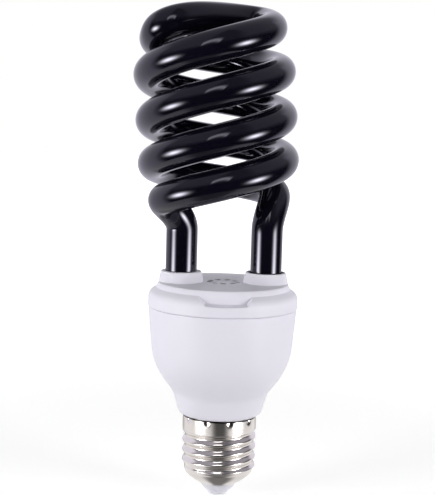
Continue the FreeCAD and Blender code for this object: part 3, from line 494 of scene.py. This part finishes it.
def make_drill_ring():
    tree, given, wanted = geometry_tree("drill_ring", {
        "Count": "Int", "Ring radius": "Float", "Drill radius": "Float", "Foot radius": "Float",
        "Depth": "Float", "Place": "Vector", "First hole": "Rotation", "Finish": "Material"})
    circle = tree.nodes.new("GeometryNodeMeshCircle")
    turned = tree.nodes.new("GeometryNodeTransform")
    drill = tree.nodes.new("GeometryNodeMeshCone")
    drill.inputs["Vertices"].default_value = DRILL_SIDES
    copies = tree.nodes.new("GeometryNodeInstanceOnPoints")
    join(tree, given["Count"], circle.inputs["Vertices"], given["Ring radius"], circle.inputs["Radius"],
         given["Drill radius"], drill.inputs["Radius Top"],
         given["Foot radius"], drill.inputs["Radius Bottom"], given["Depth"], drill.inputs["Depth"],
         circle.outputs["Mesh"], turned.inputs["Geometry"], given["Place"], turned.inputs["Translation"],
         given["First hole"], turned.inputs["Rotation"], turned.outputs["Geometry"], copies.inputs["Points"],
         drill.outputs["Mesh"], copies.inputs["Instance"])
    last_steps(tree, copies.outputs["Instances"], given, wanted)
    return tree


DRILL_RING = make_drill_ring()
print("tree:", DRILL_RING.name)

# %% Values of the cover's profile
DECK = SEAM + 8.5
DECK_RADIUS = COVER_RADIUS - 3.65
RIM_FOOT = (COVER_RADIUS - 2.95, DECK - 1.9)
SKIRT_CORNER = (COVER_RADIUS - 0.25, SEAM + 4.8)
SLEEVE_RADIUS = 23.81
COVER_INSIDE = SLEEVE_RADIUS - 1.8
COVER_WALL = 1.8
NOTCH_FLOOR = SEAM + 3.35
NOTCH_FLOOR_RISE = 1.1
NOTCH_MOUTH = (7.6, 10.8)
NOTCH_BACK = (5.5, 8.8)
BORE_RADIUS = 6.4
COLLAR_RADIUS = 7.15
COLLAR_SPREAD = 0.8
COLLAR_ROUNDING = 0.3
SOCKET_WALL = 1.3
BORE_OVERSHOOT = 1
SKIRT_ROUNDING = 3.0
RIM_ROUNDING = 0.7
PLATE_DROP = 0.01
PLATE_REACH = 0.02
VENT_SKIN = 0.6
VENT_POCKET = 6.9
VENT_OVERSHOOT = 0.1
VENTS = {"Count": 9, "Ring radius": 5.0 * MM, "Drill radius": 1.0 * MM, "Foot radius": 1.65 * MM,
         "Depth": (VENT_SKIN + 2 * VENT_OVERSHOOT) * MM}
EDGE_ROUNDING = 0.22
LEVEL_FACE = 0.9999
print("deck at", round(DECK, 2), "with", VENTS["Count"], "vents")


# %% Cut the ring, drill the deck and join it, and set the collars
def notch_tool(front):
    """The block that cuts one notch, between two four-cornered sections."""
    shape = bmesh.new()
    sections = []
    for reach, widths in ((COVER_RADIUS, NOTCH_MOUTH), (COVER_INSIDE, NOTCH_BACK)):
        floor = NOTCH_FLOOR + NOTCH_FLOOR_RISE * (COVER_RADIUS - reach) / (COVER_RADIUS - COVER_INSIDE)
        slope = (widths[1] - widths[0]) / (RIM_FOOT[1] - NOTCH_FLOOR)
        low, high = (widths[0] + slope * (level - NOTCH_FLOOR) for level in (floor, COLLAR_TOP))
        section = [(-low, floor), (low, floor), (high, COLLAR_TOP), (-high, COLLAR_TOP)]
        sections.append([shape.verts.new((x * MM, -front * reach * MM, z * MM)) for x, z in section])
    near, far = sections
    for k in range(4):
        shape.faces.new((near[k], near[(k + 1) % 4], far[(k + 1) % 4], far[k]))
    shape.faces.new(near)
    shape.faces.new(far)
    bmesh.ops.recalc_face_normals(shape, faces=shape.faces)
    mesh = bpy.data.meshes.new("notch_tool")
    shape.to_mesh(mesh)
    shape.free()
    return new_piece("notch_tool", mesh)


def choose_edges(piece, beyond):
    """Marks the sharp edges outside a radius to be rounded, so that the vents keep theirs crisp."""
    shape = bmesh.new()
    shape.from_mesh(piece.data)
    weight = shape.edges.layers.float.new("bevel_weight_edge")
    for edge in shape.edges:
        middle = (edge.verts[0].co + edge.verts[1].co) / 2
        if edge.is_manifold and edge.calc_face_angle() > SHARP_ANGLE and middle.xy.length > beyond:
            edge[weight] = 1.0
    shape.to_mesh(piece.data)
    shape.free()


def make_cover():
    ring = [(COVER_INSIDE, RIM_FOOT[1], 0), (*RIM_FOOT, 0), (*SKIRT_CORNER, SKIRT_ROUNDING),
            (COVER_RADIUS, SEAM, SEAM_ROUNDING), (SLEEVE_RADIUS, SEAM, 0), (SLEEVE_RADIUS, COVER_BOTTOM, 0),
            (COVER_INSIDE, COVER_BOTTOM, 0)]
    wall_foot = NOTCH_FLOOR - PLATE_DROP
    deck = [(0, DECK, 0), (DECK_RADIUS, DECK, RIM_ROUNDING), (*RIM_FOOT, 0), (RIM_FOOT[0], wall_foot, 0),
            (COVER_INSIDE - PLATE_REACH, wall_foot, 0), (DECK_RADIUS - COVER_WALL, DECK - COVER_WALL, 0),
            (VENT_POCKET, DECK - COVER_WALL, 0), (VENT_POCKET, DECK - VENT_SKIN, 0), (0, DECK - VENT_SKIN, 0)]
    piece = new_piece("white_cover", turned_mesh("white_cover", ring))
    for front in (1, -1):
        combine(piece, notch_tool(front), "DIFFERENCE")
    plate = new_piece("deck", turned_mesh("deck", deck))
    drills = new_piece("drills", bpy.data.meshes.new("drills"))
    run_tree(drills, DRILL_RING, VENTS | {
        "Place": (0, 0, (DECK - VENT_SKIN - VENT_OVERSHOOT) * MM), "First hole": (0, 0, -math.pi / 2),
        "Finish": FINISHES["white_plastic"]})
    combine(plate, drills, "DIFFERENCE")
    combine(piece, plate, "UNION")
    for side in (-1, 1):
        foot = COLLAR_RADIUS + COLLAR_SPREAD
        outside = BORE_RADIUS + SOCKET_WALL
        middle = DECK - COVER_WALL / 2
        low, high = SOCKET_BOTTOM - BORE_OVERSHOOT, COLLAR_TOP + BORE_OVERSHOOT
        collar = [(0, middle, 0), (foot, middle, 0), (foot, DECK, 0),
                  (COLLAR_RADIUS, COLLAR_TOP, COLLAR_ROUNDING), (0, COLLAR_TOP, 0)]
        socket = [(0, SOCKET_BOTTOM, 0), (outside, SOCKET_BOTTOM, 0), (outside, middle, 0), (0, middle, 0)]
        bore = [(0, low, 0), (BORE_RADIUS, low, 0), (BORE_RADIUS, high, 0), (0, high, 0)]
        for outline, operation in ((collar, "UNION"), (socket, "UNION"), (bore, "DIFFERENCE")):
            combine(piece, new_piece("tool", turned_mesh("tool", outline, side * LEG_AXIS)), operation)
    choose_edges(piece, VENT_POCKET * MM)
    edges = piece.modifiers.new("edges", "BEVEL")
    edges.width = EDGE_ROUNDING * MM
    edges.segments = 2
    edges.limit_method = "WEIGHT"
    edges.miter_outer = "MITER_ARC"
    settle(piece)
    smooth(piece, "white_plastic")
    for face in piece.data.polygons:
        face.use_smooth = abs(face.normal.z) < LEVEL_FACE
    mount(piece, "white_plastic", "tube_cover")


make_cover()

# %% [markdown]
# Glass tube
#
# One tube runs up a leg, round one strand of the coil, over the bridge at the top and down the other
# strand and leg. Its middle line follows a rule: turns about an axis that leans a little, as this hand-bent
# tube does. A loop sets points on that line with their headings, a smooth curve joins them, and Geometry
# Nodes sweep a circle along the curve.

# %% The rule of the middle line, in millimetres
TUBE_RADIUS = 5.55
LEG_BEND = DECK + 18.3
COIL_RADIUS = 22.6
COIL_PINCH = 2.8
COIL_FOOT_PINCH = 2.0
COIL_MIDDLE = DECK + 57.4
COIL_LEAD = 30.5
COIL_EASING = 1.8
COIL_SKEW = 1.0
COIL_LIFT = 1.0
BRIDGE_TOP = DECK + 91.7
BRIDGE_SWAY = 8.0
LEAN_LEFT = math.tan(math.radians(3.9))
LEAN_BACK = math.tan(math.radians(1.1))
COIL_ENTRY = 27 / 360 - 1
PINCH_POWER = 6
EASING_POWER = 3
STRAND_POINTS = 17
BRIDGE_POINTS = 4
HEADING_STEP = 1e-4


def leaned(point):
    rise = point.z - DECK
    return Vector((point.x - LEAN_LEFT * rise, point.y + LEAN_BACK * rise,
                   point.z + LEAN_LEFT * point.x - LEAN_BACK * point.y))


def strand(turns, side):
    """A point of one strand, by its turns from the coil's middle; side is 1 right, -1 left."""
    above = max(turns, 0)
    pinch = COIL_PINCH if above else COIL_FOOT_PINCH
    radius = side * (COIL_RADIUS - pinch * turns ** PINCH_POWER)
    height = COIL_MIDDLE + COIL_LEAD * turns - COIL_EASING * turns ** EASING_POWER
    height += COIL_LIFT * above + side * COIL_SKEW * above ** EASING_POWER
    angle = 2 * math.pi * turns
    return Vector((radius * math.cos(angle), radius * math.sin(angle), height))


def bridge(share, side):
    """A point of the swung arch from a strand's top to the coil's axis."""
    top = strand(1.0, side)
    angle = math.pi / 2 * share
    return Vector((top.x * math.cos(angle), side * BRIDGE_SWAY * math.sin(2 * angle),
                   top.z + (BRIDGE_TOP - top.z) * math.sin(angle)))


def stations(rule, side, start, end, count):
    """Points of a rule with their headings, the lean included."""
    found = []
    for k in range(count):
        at = start + (end - start) * k / (count - 1)
        heading = leaned(rule(at + HEADING_STEP, side)) - leaned(rule(at - HEADING_STEP, side))
        found.append((leaned(rule(at, side)), heading.normalized()))
    return found


def half_route(side):
    """Stations from the foot of one leg to the middle of the bridge."""
    up = Vector((0, 0, 1))
    leg = [(Vector((side * LEG_AXIS, 0, height)), up) for height in (TUBE_END, LEG_BEND)]
    coil = stations(strand, side, COIL_ENTRY, 1.0, STRAND_POINTS)
    return leg + coil + stations(bridge, side, 0.0, 1.0, BRIDGE_POINTS)[1:]


right_half = half_route(1)
left_half = [(point, -heading) for point, heading in reversed(half_route(-1))]
tube_route = right_half + left_half[1:]
print("stations on the tube's middle line:", len(tube_route))


# %% A curve through the stations, and the tree that sweeps the tube
CURVE_STEPS = 24
NEARLY_STRAIGHT = 1e-3


def handle_length(start, heading, end, arrival):
    """How far a Bezier handle reaches, so that the curve between two headings is nearly an arc."""
    turn = heading.angle(arrival)
    chord = (end - start).length
    if turn < NEARLY_STRAIGHT:
        return chord / 3
    return chord * 2 * math.tan(turn / 4) / (3 * math.sin(turn / 2))


def route_curve(name, route):
    curve = bpy.data.curves.new(name, "CURVE")
    curve.dimensions = "3D"
    spline = curve.splines.new("BEZIER")
    spline.bezier_points.add(len(route) - 1)
    spline.resolution_u = CURVE_STEPS
    reaches = [handle_length(*a, *b) for a, b in zip(route, route[1:])]
    for k, (point, heading) in enumerate(route):
        knot = spline.bezier_points[k]
        knot.handle_left_type = knot.handle_right_type = "FREE"
        before = reaches[k - 1] if k else 1.0
        after = reaches[k] if k < len(reaches) else 1.0
        knot.co = point * MM
        knot.handle_left = (point - heading * before) * MM
        knot.handle_right = (point + heading * after) * MM
    return curve


def make_sweep():
    tree, given, wanted = geometry_tree("swept_tube", {
        "Radius": "Float", "Sides": "Int", "Step": "Float", "Finish": "Material"})
    even = tree.nodes.new("GeometryNodeResampleCurve")
    even.mode = "LENGTH"
    ring = tree.nodes.new("GeometryNodeCurvePrimitiveCircle")
    tube = tree.nodes.new("GeometryNodeCurveToMesh")
    tube.inputs["Fill Caps"].default_value = True
    soft = tree.nodes.new("GeometryNodeSetShadeSmooth")
    join(tree, given["Geometry"], even.inputs["Curve"], given["Step"], even.inputs["Length"],
         given["Radius"], ring.inputs["Radius"], given["Sides"], ring.inputs["Resolution"],
         even.outputs["Curve"], tube.inputs["Curve"], ring.outputs["Curve"], tube.inputs["Profile Curve"],
         tube.outputs["Mesh"], soft.inputs["Geometry"])
    last_steps(tree, soft.outputs["Geometry"], given, wanted)
    return tree


def swept_piece(name, route, values):
    """Sweeps a tube along a route and keeps it as a plain mesh piece."""
    line = bpy.data.objects.new(name + "_line", route_curve(name + "_line", route))
    scene.collection.objects.link(line)
    add_tree(line, SWEEP, values)
    seen = bpy.context.evaluated_depsgraph_get()
    piece = new_piece(name, bpy.data.meshes.new_from_object(line.evaluated_get(seen)))
    bpy.data.objects.remove(line)
    return piece


SWEEP = make_sweep()
tube = swept_piece("black_glass_tube", tube_route, {
    "Radius": TUBE_RADIUS * MM, "Sides": 56, "Step": 0.7 * MM, "Finish": FINISHES["black_glass"]})
smooth(tube, "black_glass")
mount(tube, "black_glass", "glass_tube")

# %% [markdown]
# Screw shell
#
# The shell is one sheet, rolled so that its radius follows a rule: a round ridge that climbs one pitch in
# each turn, a plain collar above it, a foot that closes in below it, and a ring of punch marks that hold it
# to the housing. A flat grid is bent round the axis, and Geometry Nodes work out the radius at each point.

# %% The tree that rolls the shell
WELD = 0.001
# How wide a punch mark is for its height
DENT_SHARE = 0.7


def make_rolled_shell():
    names = ("Foot height", "Top height", "Foot radius", "Root radius", "Crest radius", "Taper height",
             "Pitch", "Thread phase", "Thread fade", "Collar height", "Collar step", "Dent height",
             "Dent count", "Dent turn", "Dent width", "Dent depth")
    tree, given, wanted = geometry_tree("rolled_shell", {
        "Columns": "Int", "Rows": "Int", **{name: "Float" for name in names}, "Finish": "Material"})

    work = sums(tree)

    def plus(a, b):
        return work("ADD", a, b)

    def minus(a, b):
        return work("SUBTRACT", a, b)

    def times(a, b):
        return work("MULTIPLY", a, b)

    def over(a, b):
        return work("DIVIDE", a, b)

    grid = tree.nodes.new("GeometryNodeMeshGrid")
    grid.inputs["Size X"].default_value = 1.0
    grid.inputs["Size Y"].default_value = 1.0
    join(tree, given["Columns"], grid.inputs["Vertices X"], given["Rows"], grid.inputs["Vertices Y"])
    where = tree.nodes.new("GeometryNodeInputPosition")
    parts = tree.nodes.new("ShaderNodeSeparateXYZ")
    join(tree, where.outputs["Position"], parts.inputs["Vector"])
    turn = plus(parts.outputs["X"], 0.5)
    rise = plus(parts.outputs["Y"], 0.5)
    angle = times(turn, 2 * math.pi)
    height = plus(given["Foot height"], times(rise, minus(given["Top height"], given["Foot height"])))
    # The foot closes in along a quarter of a sine wave
    closing = over(minus(height, given["Foot height"]), minus(given["Taper height"], given["Foot height"]))
    foot = work("SINE", times(work("MINIMUM", closing, 1.0), math.pi / 2))
    plain = plus(given["Foot radius"], times(foot, minus(given["Root radius"], given["Foot radius"])))
    # The ridge is a cosine of the height less the climb
    climb = minus(over(minus(height, given["Thread phase"]), given["Pitch"]), turn)
    wave = plus(times(work("COSINE", times(climb, 2 * math.pi)), 0.5), 0.5)
    full = plus(given["Taper height"], given["Thread fade"])
    started = step_between(tree, height, given["Taper height"], full)
    below_collar = minus(given["Collar height"], given["Collar step"])
    collar = step_between(tree, height, below_collar, given["Collar height"])
    ridge = work("MAXIMUM", times(wave, started), collar)
    depth = minus(given["Crest radius"], given["Root radius"])
    # Each punch mark is a bell-shaped dent, repeated round the collar
    apart = over(1.0, given["Dent count"])
    along = minus(work("FLOORED_MODULO", minus(turn, given["Dent turn"]), apart), times(apart, 0.5))
    across = times(times(along, 2 * math.pi), given["Crest radius"])
    below = times(minus(height, given["Dent height"]), DENT_SHARE)
    width = given["Dent width"]
    far = over(plus(times(across, across), times(below, below)), times(width, width))
    dent = times(given["Dent depth"], work("EXPONENT", times(far, -1.0)))
    radius = minus(plus(plain, times(ridge, depth)), dent)
    spot = tree.nodes.new("ShaderNodeCombineXYZ")
    join(tree, times(radius, work("COSINE", angle)), spot.inputs["X"],
         times(radius, work("SINE", angle)), spot.inputs["Y"], height, spot.inputs["Z"])
    bend = tree.nodes.new("GeometryNodeSetPosition")
    weld = tree.nodes.new("GeometryNodeMergeByDistance")
    weld.inputs["Distance"].default_value = WELD * MM
    soft = tree.nodes.new("GeometryNodeSetShadeSmooth")
    join(tree, grid.outputs["Mesh"], bend.inputs["Geometry"], spot.outputs["Vector"], bend.inputs["Position"],
         bend.outputs["Geometry"], weld.inputs["Geometry"], weld.outputs["Geometry"], soft.inputs["Geometry"])
    last_steps(tree, soft.outputs["Geometry"], given, wanted)
    return tree


ROLLED_SHELL = make_rolled_shell()
print("tree:", ROLLED_SHELL.name, "with", len(ROLLED_SHELL.nodes), "nodes")

# %% Roll the shell and give the sheet its thickness
SHEET = 0.35
SHELL_MM = {
    "Foot height": SHELL_FOOT, "Top height": SHELL_TOP, "Foot radius": 6.8, "Root radius": 12.2,
    "Crest radius": CREST_RADIUS, "Taper height": 9.25, "Pitch": 3.629, "Thread phase": 10.47,
    "Thread fade": 1.4, "Collar height": 24.0, "Collar step": 0.9, "Dent height": 28.5, "Dent width": 0.68,
    "Dent depth": 0.38,
}
SHELL_COUNTS = {"Columns": 241, "Rows": 150, "Dent count": 10.0, "Dent turn": 0.0383}


def make_shell():
    piece = new_piece("nickel_screw_shell", bpy.data.meshes.new("nickel_screw_shell"))
    values = {name: value * MM for name, value in SHELL_MM.items()} | SHELL_COUNTS
    run_tree(piece, ROLLED_SHELL, values | {"Finish": FINISHES["nickel_shell"]})
    shape = bmesh.new()
    shape.from_mesh(piece.data)
    bmesh.ops.recalc_face_normals(shape, faces=shape.faces)
    outward = sum(face.normal.dot(Vector((face.calc_center_median().x, face.calc_center_median().y, 0)))
                  for face in shape.faces)
    if outward < 0:
        bmesh.ops.reverse_faces(shape, faces=shape.faces)
    shape.to_mesh(piece.data)
    shape.free()
    sheet = piece.modifiers.new("sheet", "SOLIDIFY")
    sheet.thickness = SHEET * MM
    sheet.offset = -1
    settle(piece)
    smooth(piece, "nickel_shell")
    mount(piece, "nickel_shell", "screw_shell")


make_shell()

# %% [markdown]
# The tip
#
# A pale insulator fills the shell's mouth, and a rounded contact is riveted through it. A sphere could stand
# for the button, but both are turned from profiles, as the housing is, because the contact has a stem.

# %% Turn the insulator and the contact
CONTACT_RADIUS = 4.2
CONTACT_HEIGHT = 1.6
CONTACT_ROUNDING = 1.5
STEM_RADIUS = 1.3
LIP_TOP = SHELL_FOOT + 0.5
INSULATOR_FOOT = (4.9, 0.5)
LIP_ROUNDING = 0.3


def make_tip():
    mouth = SHELL_MM["Foot radius"]
    ring = [(STEM_RADIUS, CONTACT_HEIGHT, 0), (INSULATOR_FOOT[0], CONTACT_HEIGHT, INSULATOR_FOOT[1]),
            (mouth, SHELL_FOOT, LIP_ROUNDING), (mouth, LIP_TOP, 0),
            (INSULATOR_RADIUS, INSULATOR_TOP, 0), (STEM_RADIUS, INSULATOR_TOP, 0)]
    insulator = new_piece("pale_insulator_ring", turned_mesh("pale_insulator_ring", ring))
    smooth(insulator, "pale_insulator")
    mount(insulator, "pale_insulator", "base_insulator")
    button = [(0, 0, 0), (CONTACT_RADIUS, 0, CONTACT_ROUNDING), (CONTACT_RADIUS, CONTACT_HEIGHT, 0),
              (STEM_RADIUS, CONTACT_HEIGHT, 0), (STEM_RADIUS, INSULATOR_TOP, 0), (0, INSULATOR_TOP, 0)]
    contact = new_piece("contact_button", turned_mesh("contact_button", button))
    smooth(contact, "tinned_contact")
    mount(contact, "tinned_contact", "centre_contact")


make_tip()

# %% [markdown]
# Studio
#
# The lamp stands on a white table in a white room whose front, on the camera's side and a little to the
# right, is dark, under a dim ceiling. So the glass and the nickel are dark in the middle and pale at their
# edges. Two wide soft boxes at the sides, brightest in their middles, give the long highlights on the glass,
# and a faint one above gives the short arc between them. They could light the plastic as well, but then it
# would burn out, so reflections alone show them, and two plainer boxes and the room light the lamp.

# %% Directions in a shader tree
def frontness(tree, place, turn=0.0):
    """How far a direction points to the front, turned to the right, with its rise and its level length."""
    work = sums(tree)
    parts = tree.nodes.new("ShaderNodeSeparateXYZ")
    tree.links.new(place, parts.inputs["Vector"])
    across, along = parts.outputs["X"], parts.outputs["Y"]
    reach = work("SQRT", work("ADD", work("MULTIPLY", across, across), work("MULTIPLY", along, along)))
    right, back = work("MULTIPLY", across, math.sin(turn)), work("MULTIPLY", along, math.cos(turn))
    ahead = work("SUBTRACT", right, back)
    return work("DIVIDE", ahead, reach), parts.outputs["Z"], reach


# %% Floor and room
FLOOR_HALF = 3.0
FLOOR_LEVEL = -0.0004
NEAR_GLOW = 0.44
FAR_GLOW = 1.0
ROOM_TURN = math.radians(12)
PAPER = (0.9, 0.9, 0.9, 1)
# Smooth steps as start, end and, where they are not 0 and 1, the levels there
FLAT_MIRROR = (0.99, 0.86, 0.11, 1.0)
STEEP_MIRROR = (0.95, 0.62, 0.21, 0.92)
SLANT = (0.3, 0.6)
BACK_DIMMING = (-0.6, -0.95, 1.0, 0.45)
GLOW = (0.10, 0.60, NEAR_GLOW, FAR_GLOW)
TABLE_EDGE = (0.115, 0.14)
WALL_RISE = (0.9, 0.5)
WALL_TURN = (-0.05, -0.45)
CEILING_RISE = (0.05, 0.5, 0.01, 0.42)
CEILING_TURN = (0.97, 0.75, 0.4, 1.0)
LIGHT_TURN = (0.5, -0.1, 0.32, 0.68)
LIGHT_FROM_ABOVE = 0.35
MIRRORED_TINT = (0.90, 0.88, 1, 1)


def white_floor():
    """White to the camera; in reflections a small pale table, dark in front, with the room beyond."""
    mesh = bpy.data.meshes.new("floor")
    corners = [(-1, -1), (1, -1), (1, 1), (-1, 1)]
    places = [(x * FLOOR_HALF, y * FLOOR_HALF, FLOOR_LEVEL) for x, y in corners]
    mesh.from_pydata(places, [], [(0, 1, 2, 3)])
    floor = new_piece("floor", mesh)
    material = bpy.data.materials.new("floor")
    material.use_nodes = True
    tree = material.node_tree
    work = sums(tree)
    paper = tree.nodes["Principled BSDF"]
    paper.inputs["Base Color"].default_value = PAPER
    paper.inputs["Roughness"].default_value = 1.0
    paper.inputs["Specular IOR Level"].default_value = 0.0
    place = tree.nodes.new("ShaderNodeTexCoord")
    front, _, reach = frontness(tree, place.outputs["Object"])
    slant = tree.nodes.new("ShaderNodeLayerWeight")
    flat = step_between(tree, front, *FLAT_MIRROR)
    steep = step_between(tree, front, *STEEP_MIRROR)
    behind = step_between(tree, front, *BACK_DIMMING)
    mirrored = tree.nodes.new("ShaderNodeMix")
    join(tree, step_between(tree, slant.outputs["Facing"], *SLANT), mirrored.inputs["Factor"],
         steep, mirrored.inputs["A"], flat, mirrored.inputs["B"])
    rays = tree.nodes.new("ShaderNodeLightPath")
    shiny = work("MAXIMUM", rays.outputs["Is Glossy Ray"], rays.outputs["Is Transmission Ray"])
    glow = step_between(tree, reach, *GLOW)
    white = tree.nodes.new("ShaderNodeEmission")
    both = tree.nodes.new("ShaderNodeAddShader")
    mirror = tree.nodes.new("ShaderNodeEmission")
    beyond = tree.nodes.new("ShaderNodeBsdfTransparent")
    table = tree.nodes.new("ShaderNodeMixShader")
    choice = tree.nodes.new("ShaderNodeMixShader")
    join(tree, work("MULTIPLY", rays.outputs["Is Camera Ray"], glow), white.inputs["Strength"],
         paper.outputs["BSDF"], both.inputs[0], white.outputs["Emission"], both.inputs[1],
         work("MULTIPLY", mirrored.outputs["Result"], behind), mirror.inputs["Strength"],
         step_between(tree, reach, *TABLE_EDGE), table.inputs["Fac"],
         mirror.outputs["Emission"], table.inputs[1], beyond.outputs["BSDF"], table.inputs[2],
         shiny, choice.inputs["Fac"], both.outputs["Shader"], choice.inputs[1],
         table.outputs["Shader"], choice.inputs[2],
         choice.outputs["Shader"], tree.nodes["Material Output"].inputs["Surface"])
    mesh.materials.append(material)


def room():
    """White to the camera; for light and reflections, brighter at the sides and behind than in front."""
    world = bpy.data.worlds.new("room")
    scene.world = world
    world.use_nodes = True
    tree = world.node_tree
    work = sums(tree)
    place = tree.nodes.new("ShaderNodeTexCoord")
    front, up, _ = frontness(tree, place.outputs["Generated"], ROOM_TURN)
    low = step_between(tree, up, *WALL_RISE)
    walls = work("MULTIPLY", step_between(tree, front, *WALL_TURN), low)
    ceiling = work("MULTIPLY", step_between(tree, up, *CEILING_RISE),
                   step_between(tree, front, *CEILING_TURN))
    light = work("MULTIPLY", step_between(tree, front, *LIGHT_TURN), work("ADD", low, LIGHT_FROM_ABOVE))
    rays = tree.nodes.new("ShaderNodeLightPath")
    levels = tree.nodes.new("ShaderNodeMix")
    seen = tree.nodes.new("ShaderNodeMix")
    seen.inputs["B"].default_value = 1.0
    tint = tree.nodes.new("ShaderNodeMix")
    tint.data_type = "RGBA"
    tint.inputs["A"].default_value = (1, 1, 1, 1)
    tint.inputs["B"].default_value = MIRRORED_TINT
    shiny = work("MAXIMUM", rays.outputs["Is Glossy Ray"], rays.outputs["Is Transmission Ray"])
    back = tree.nodes["Background"]
    join(tree, shiny, levels.inputs["Factor"], light, levels.inputs["A"], work("MAXIMUM", walls, ceiling),
         levels.inputs["B"], levels.outputs["Result"], seen.inputs["A"], rays.outputs["Is Camera Ray"],
         seen.inputs["Factor"], seen.outputs["Result"], back.inputs["Strength"],
         shiny, tint.inputs["Factor"], tint.outputs["Result"], back.inputs["Color"])


white_floor()
room()
print("floor and room are in place")


# %% Soft boxes
MIDDLE = Vector((0, 0, 0.12))


def soft_box(name, azimuth, elevation, distance, width, height, brightness):
    """An area light by its direction from the lamp; azimuth 0 is the camera's side, positive to the right."""
    side, lift = math.radians(azimuth), math.radians(elevation)
    toward = Vector((math.sin(side) * math.cos(lift), -math.cos(side) * math.cos(lift), math.sin(lift)))
    light = bpy.data.lights.new(name, "AREA")
    light.shape = "RECTANGLE"
    light.size = width
    light.size_y = height
    light.energy = brightness * math.pi * width * height
    lamp = bpy.data.objects.new(name, light)
    lamp.location = MIDDLE + toward * distance
    lamp.rotation_euler = toward.to_track_quat("Z", "Y").to_euler()
    lamp.visible_camera = False
    scene.collection.objects.link(lamp)
    return lamp


def fade(light, fall, bow=None):
    """A bell-shaped fading from the middle of a box, or from a bowed line across it, to its edges."""
    light.use_nodes = True
    tree = light.node_tree
    work = sums(tree)
    surface = tree.nodes.new("ShaderNodeNewGeometry")
    parts = tree.nodes.new("ShaderNodeSeparateXYZ")
    join(tree, surface.outputs["Parametric"], parts.inputs["Vector"])
    across, along = (work("SUBTRACT", parts.outputs[axis], 0.5) for axis in "XY")
    square = work("MULTIPLY", across, across)
    if bow:
        line = work("ADD", work("SUBTRACT", along, bow / 8), work("MULTIPLY", square, bow))
        away = work("MULTIPLY", line, line)
    else:
        away = work("ADD", square, work("MULTIPLY", along, along))
    bell = work("EXPONENT", work("MULTIPLY", away, -fall))
    join(tree, bell, tree.nodes["Emission"].inputs["Strength"])


for name, azimuth in (("left_streak", -63), ("right_streak", 57)):
    box = soft_box(name, azimuth, elevation=-15, distance=0.6, width=0.60, height=0.46, brightness=26.0)
    box.visible_diffuse = False
    fade(box.data, fall=24.0)
arc = soft_box("upper_arc", -8, elevation=30, distance=0.9, width=0.42, height=0.52, brightness=3.2)
arc.visible_diffuse = False
fade(arc.data, fall=14.0, bow=1.3)
for name, azimuth in (("left_light", -60), ("right_light", 60)):
    box = soft_box(name, azimuth, elevation=0, distance=0.9, width=0.40, height=0.62, brightness=7.2)
    box.visible_glossy = False

# %% [markdown]
# Camera
#
# The camera stands a little above the middle of the lamp, looks slightly down on it and is rolled a degree
# and a half, so that the lamp leans in the picture as it does in the photograph.

# %% Camera
FOCAL_PIXELS = 1174.93
PICTURE_HEIGHT = 495
SENSOR = 36.0
CAMERA_PLACE = Vector((-2.3566, -410.757, 135.842)) * MM
CAMERA_PITCH = 0.1148
CAMERA_ROLL = 0.0276
CAMERA_TURN = Euler((0, 0, math.radians(-2.5)))


def set_camera():
    data = bpy.data.cameras.new("camera")
    data.sensor_width = SENSOR
    data.lens = SENSOR * FOCAL_PIXELS / PICTURE_HEIGHT
    data.clip_start = 0.01
    camera = bpy.data.objects.new("camera", data)
    tilt = Euler((math.pi / 2 - CAMERA_PITCH, 0, 0)).to_matrix()
    roll = Euler((0, 0, CAMERA_ROLL)).to_matrix()
    turn = CAMERA_TURN.to_matrix()
    camera.matrix_world = (turn @ tilt @ roll).to_4x4()
    camera.location = turn @ CAMERA_PLACE
    scene.collection.objects.link(camera)
    scene.camera = camera
    scene.view_settings.view_transform = "Standard"


set_camera()
print("lens:", round(scene.camera.data.lens, 2), "mm")
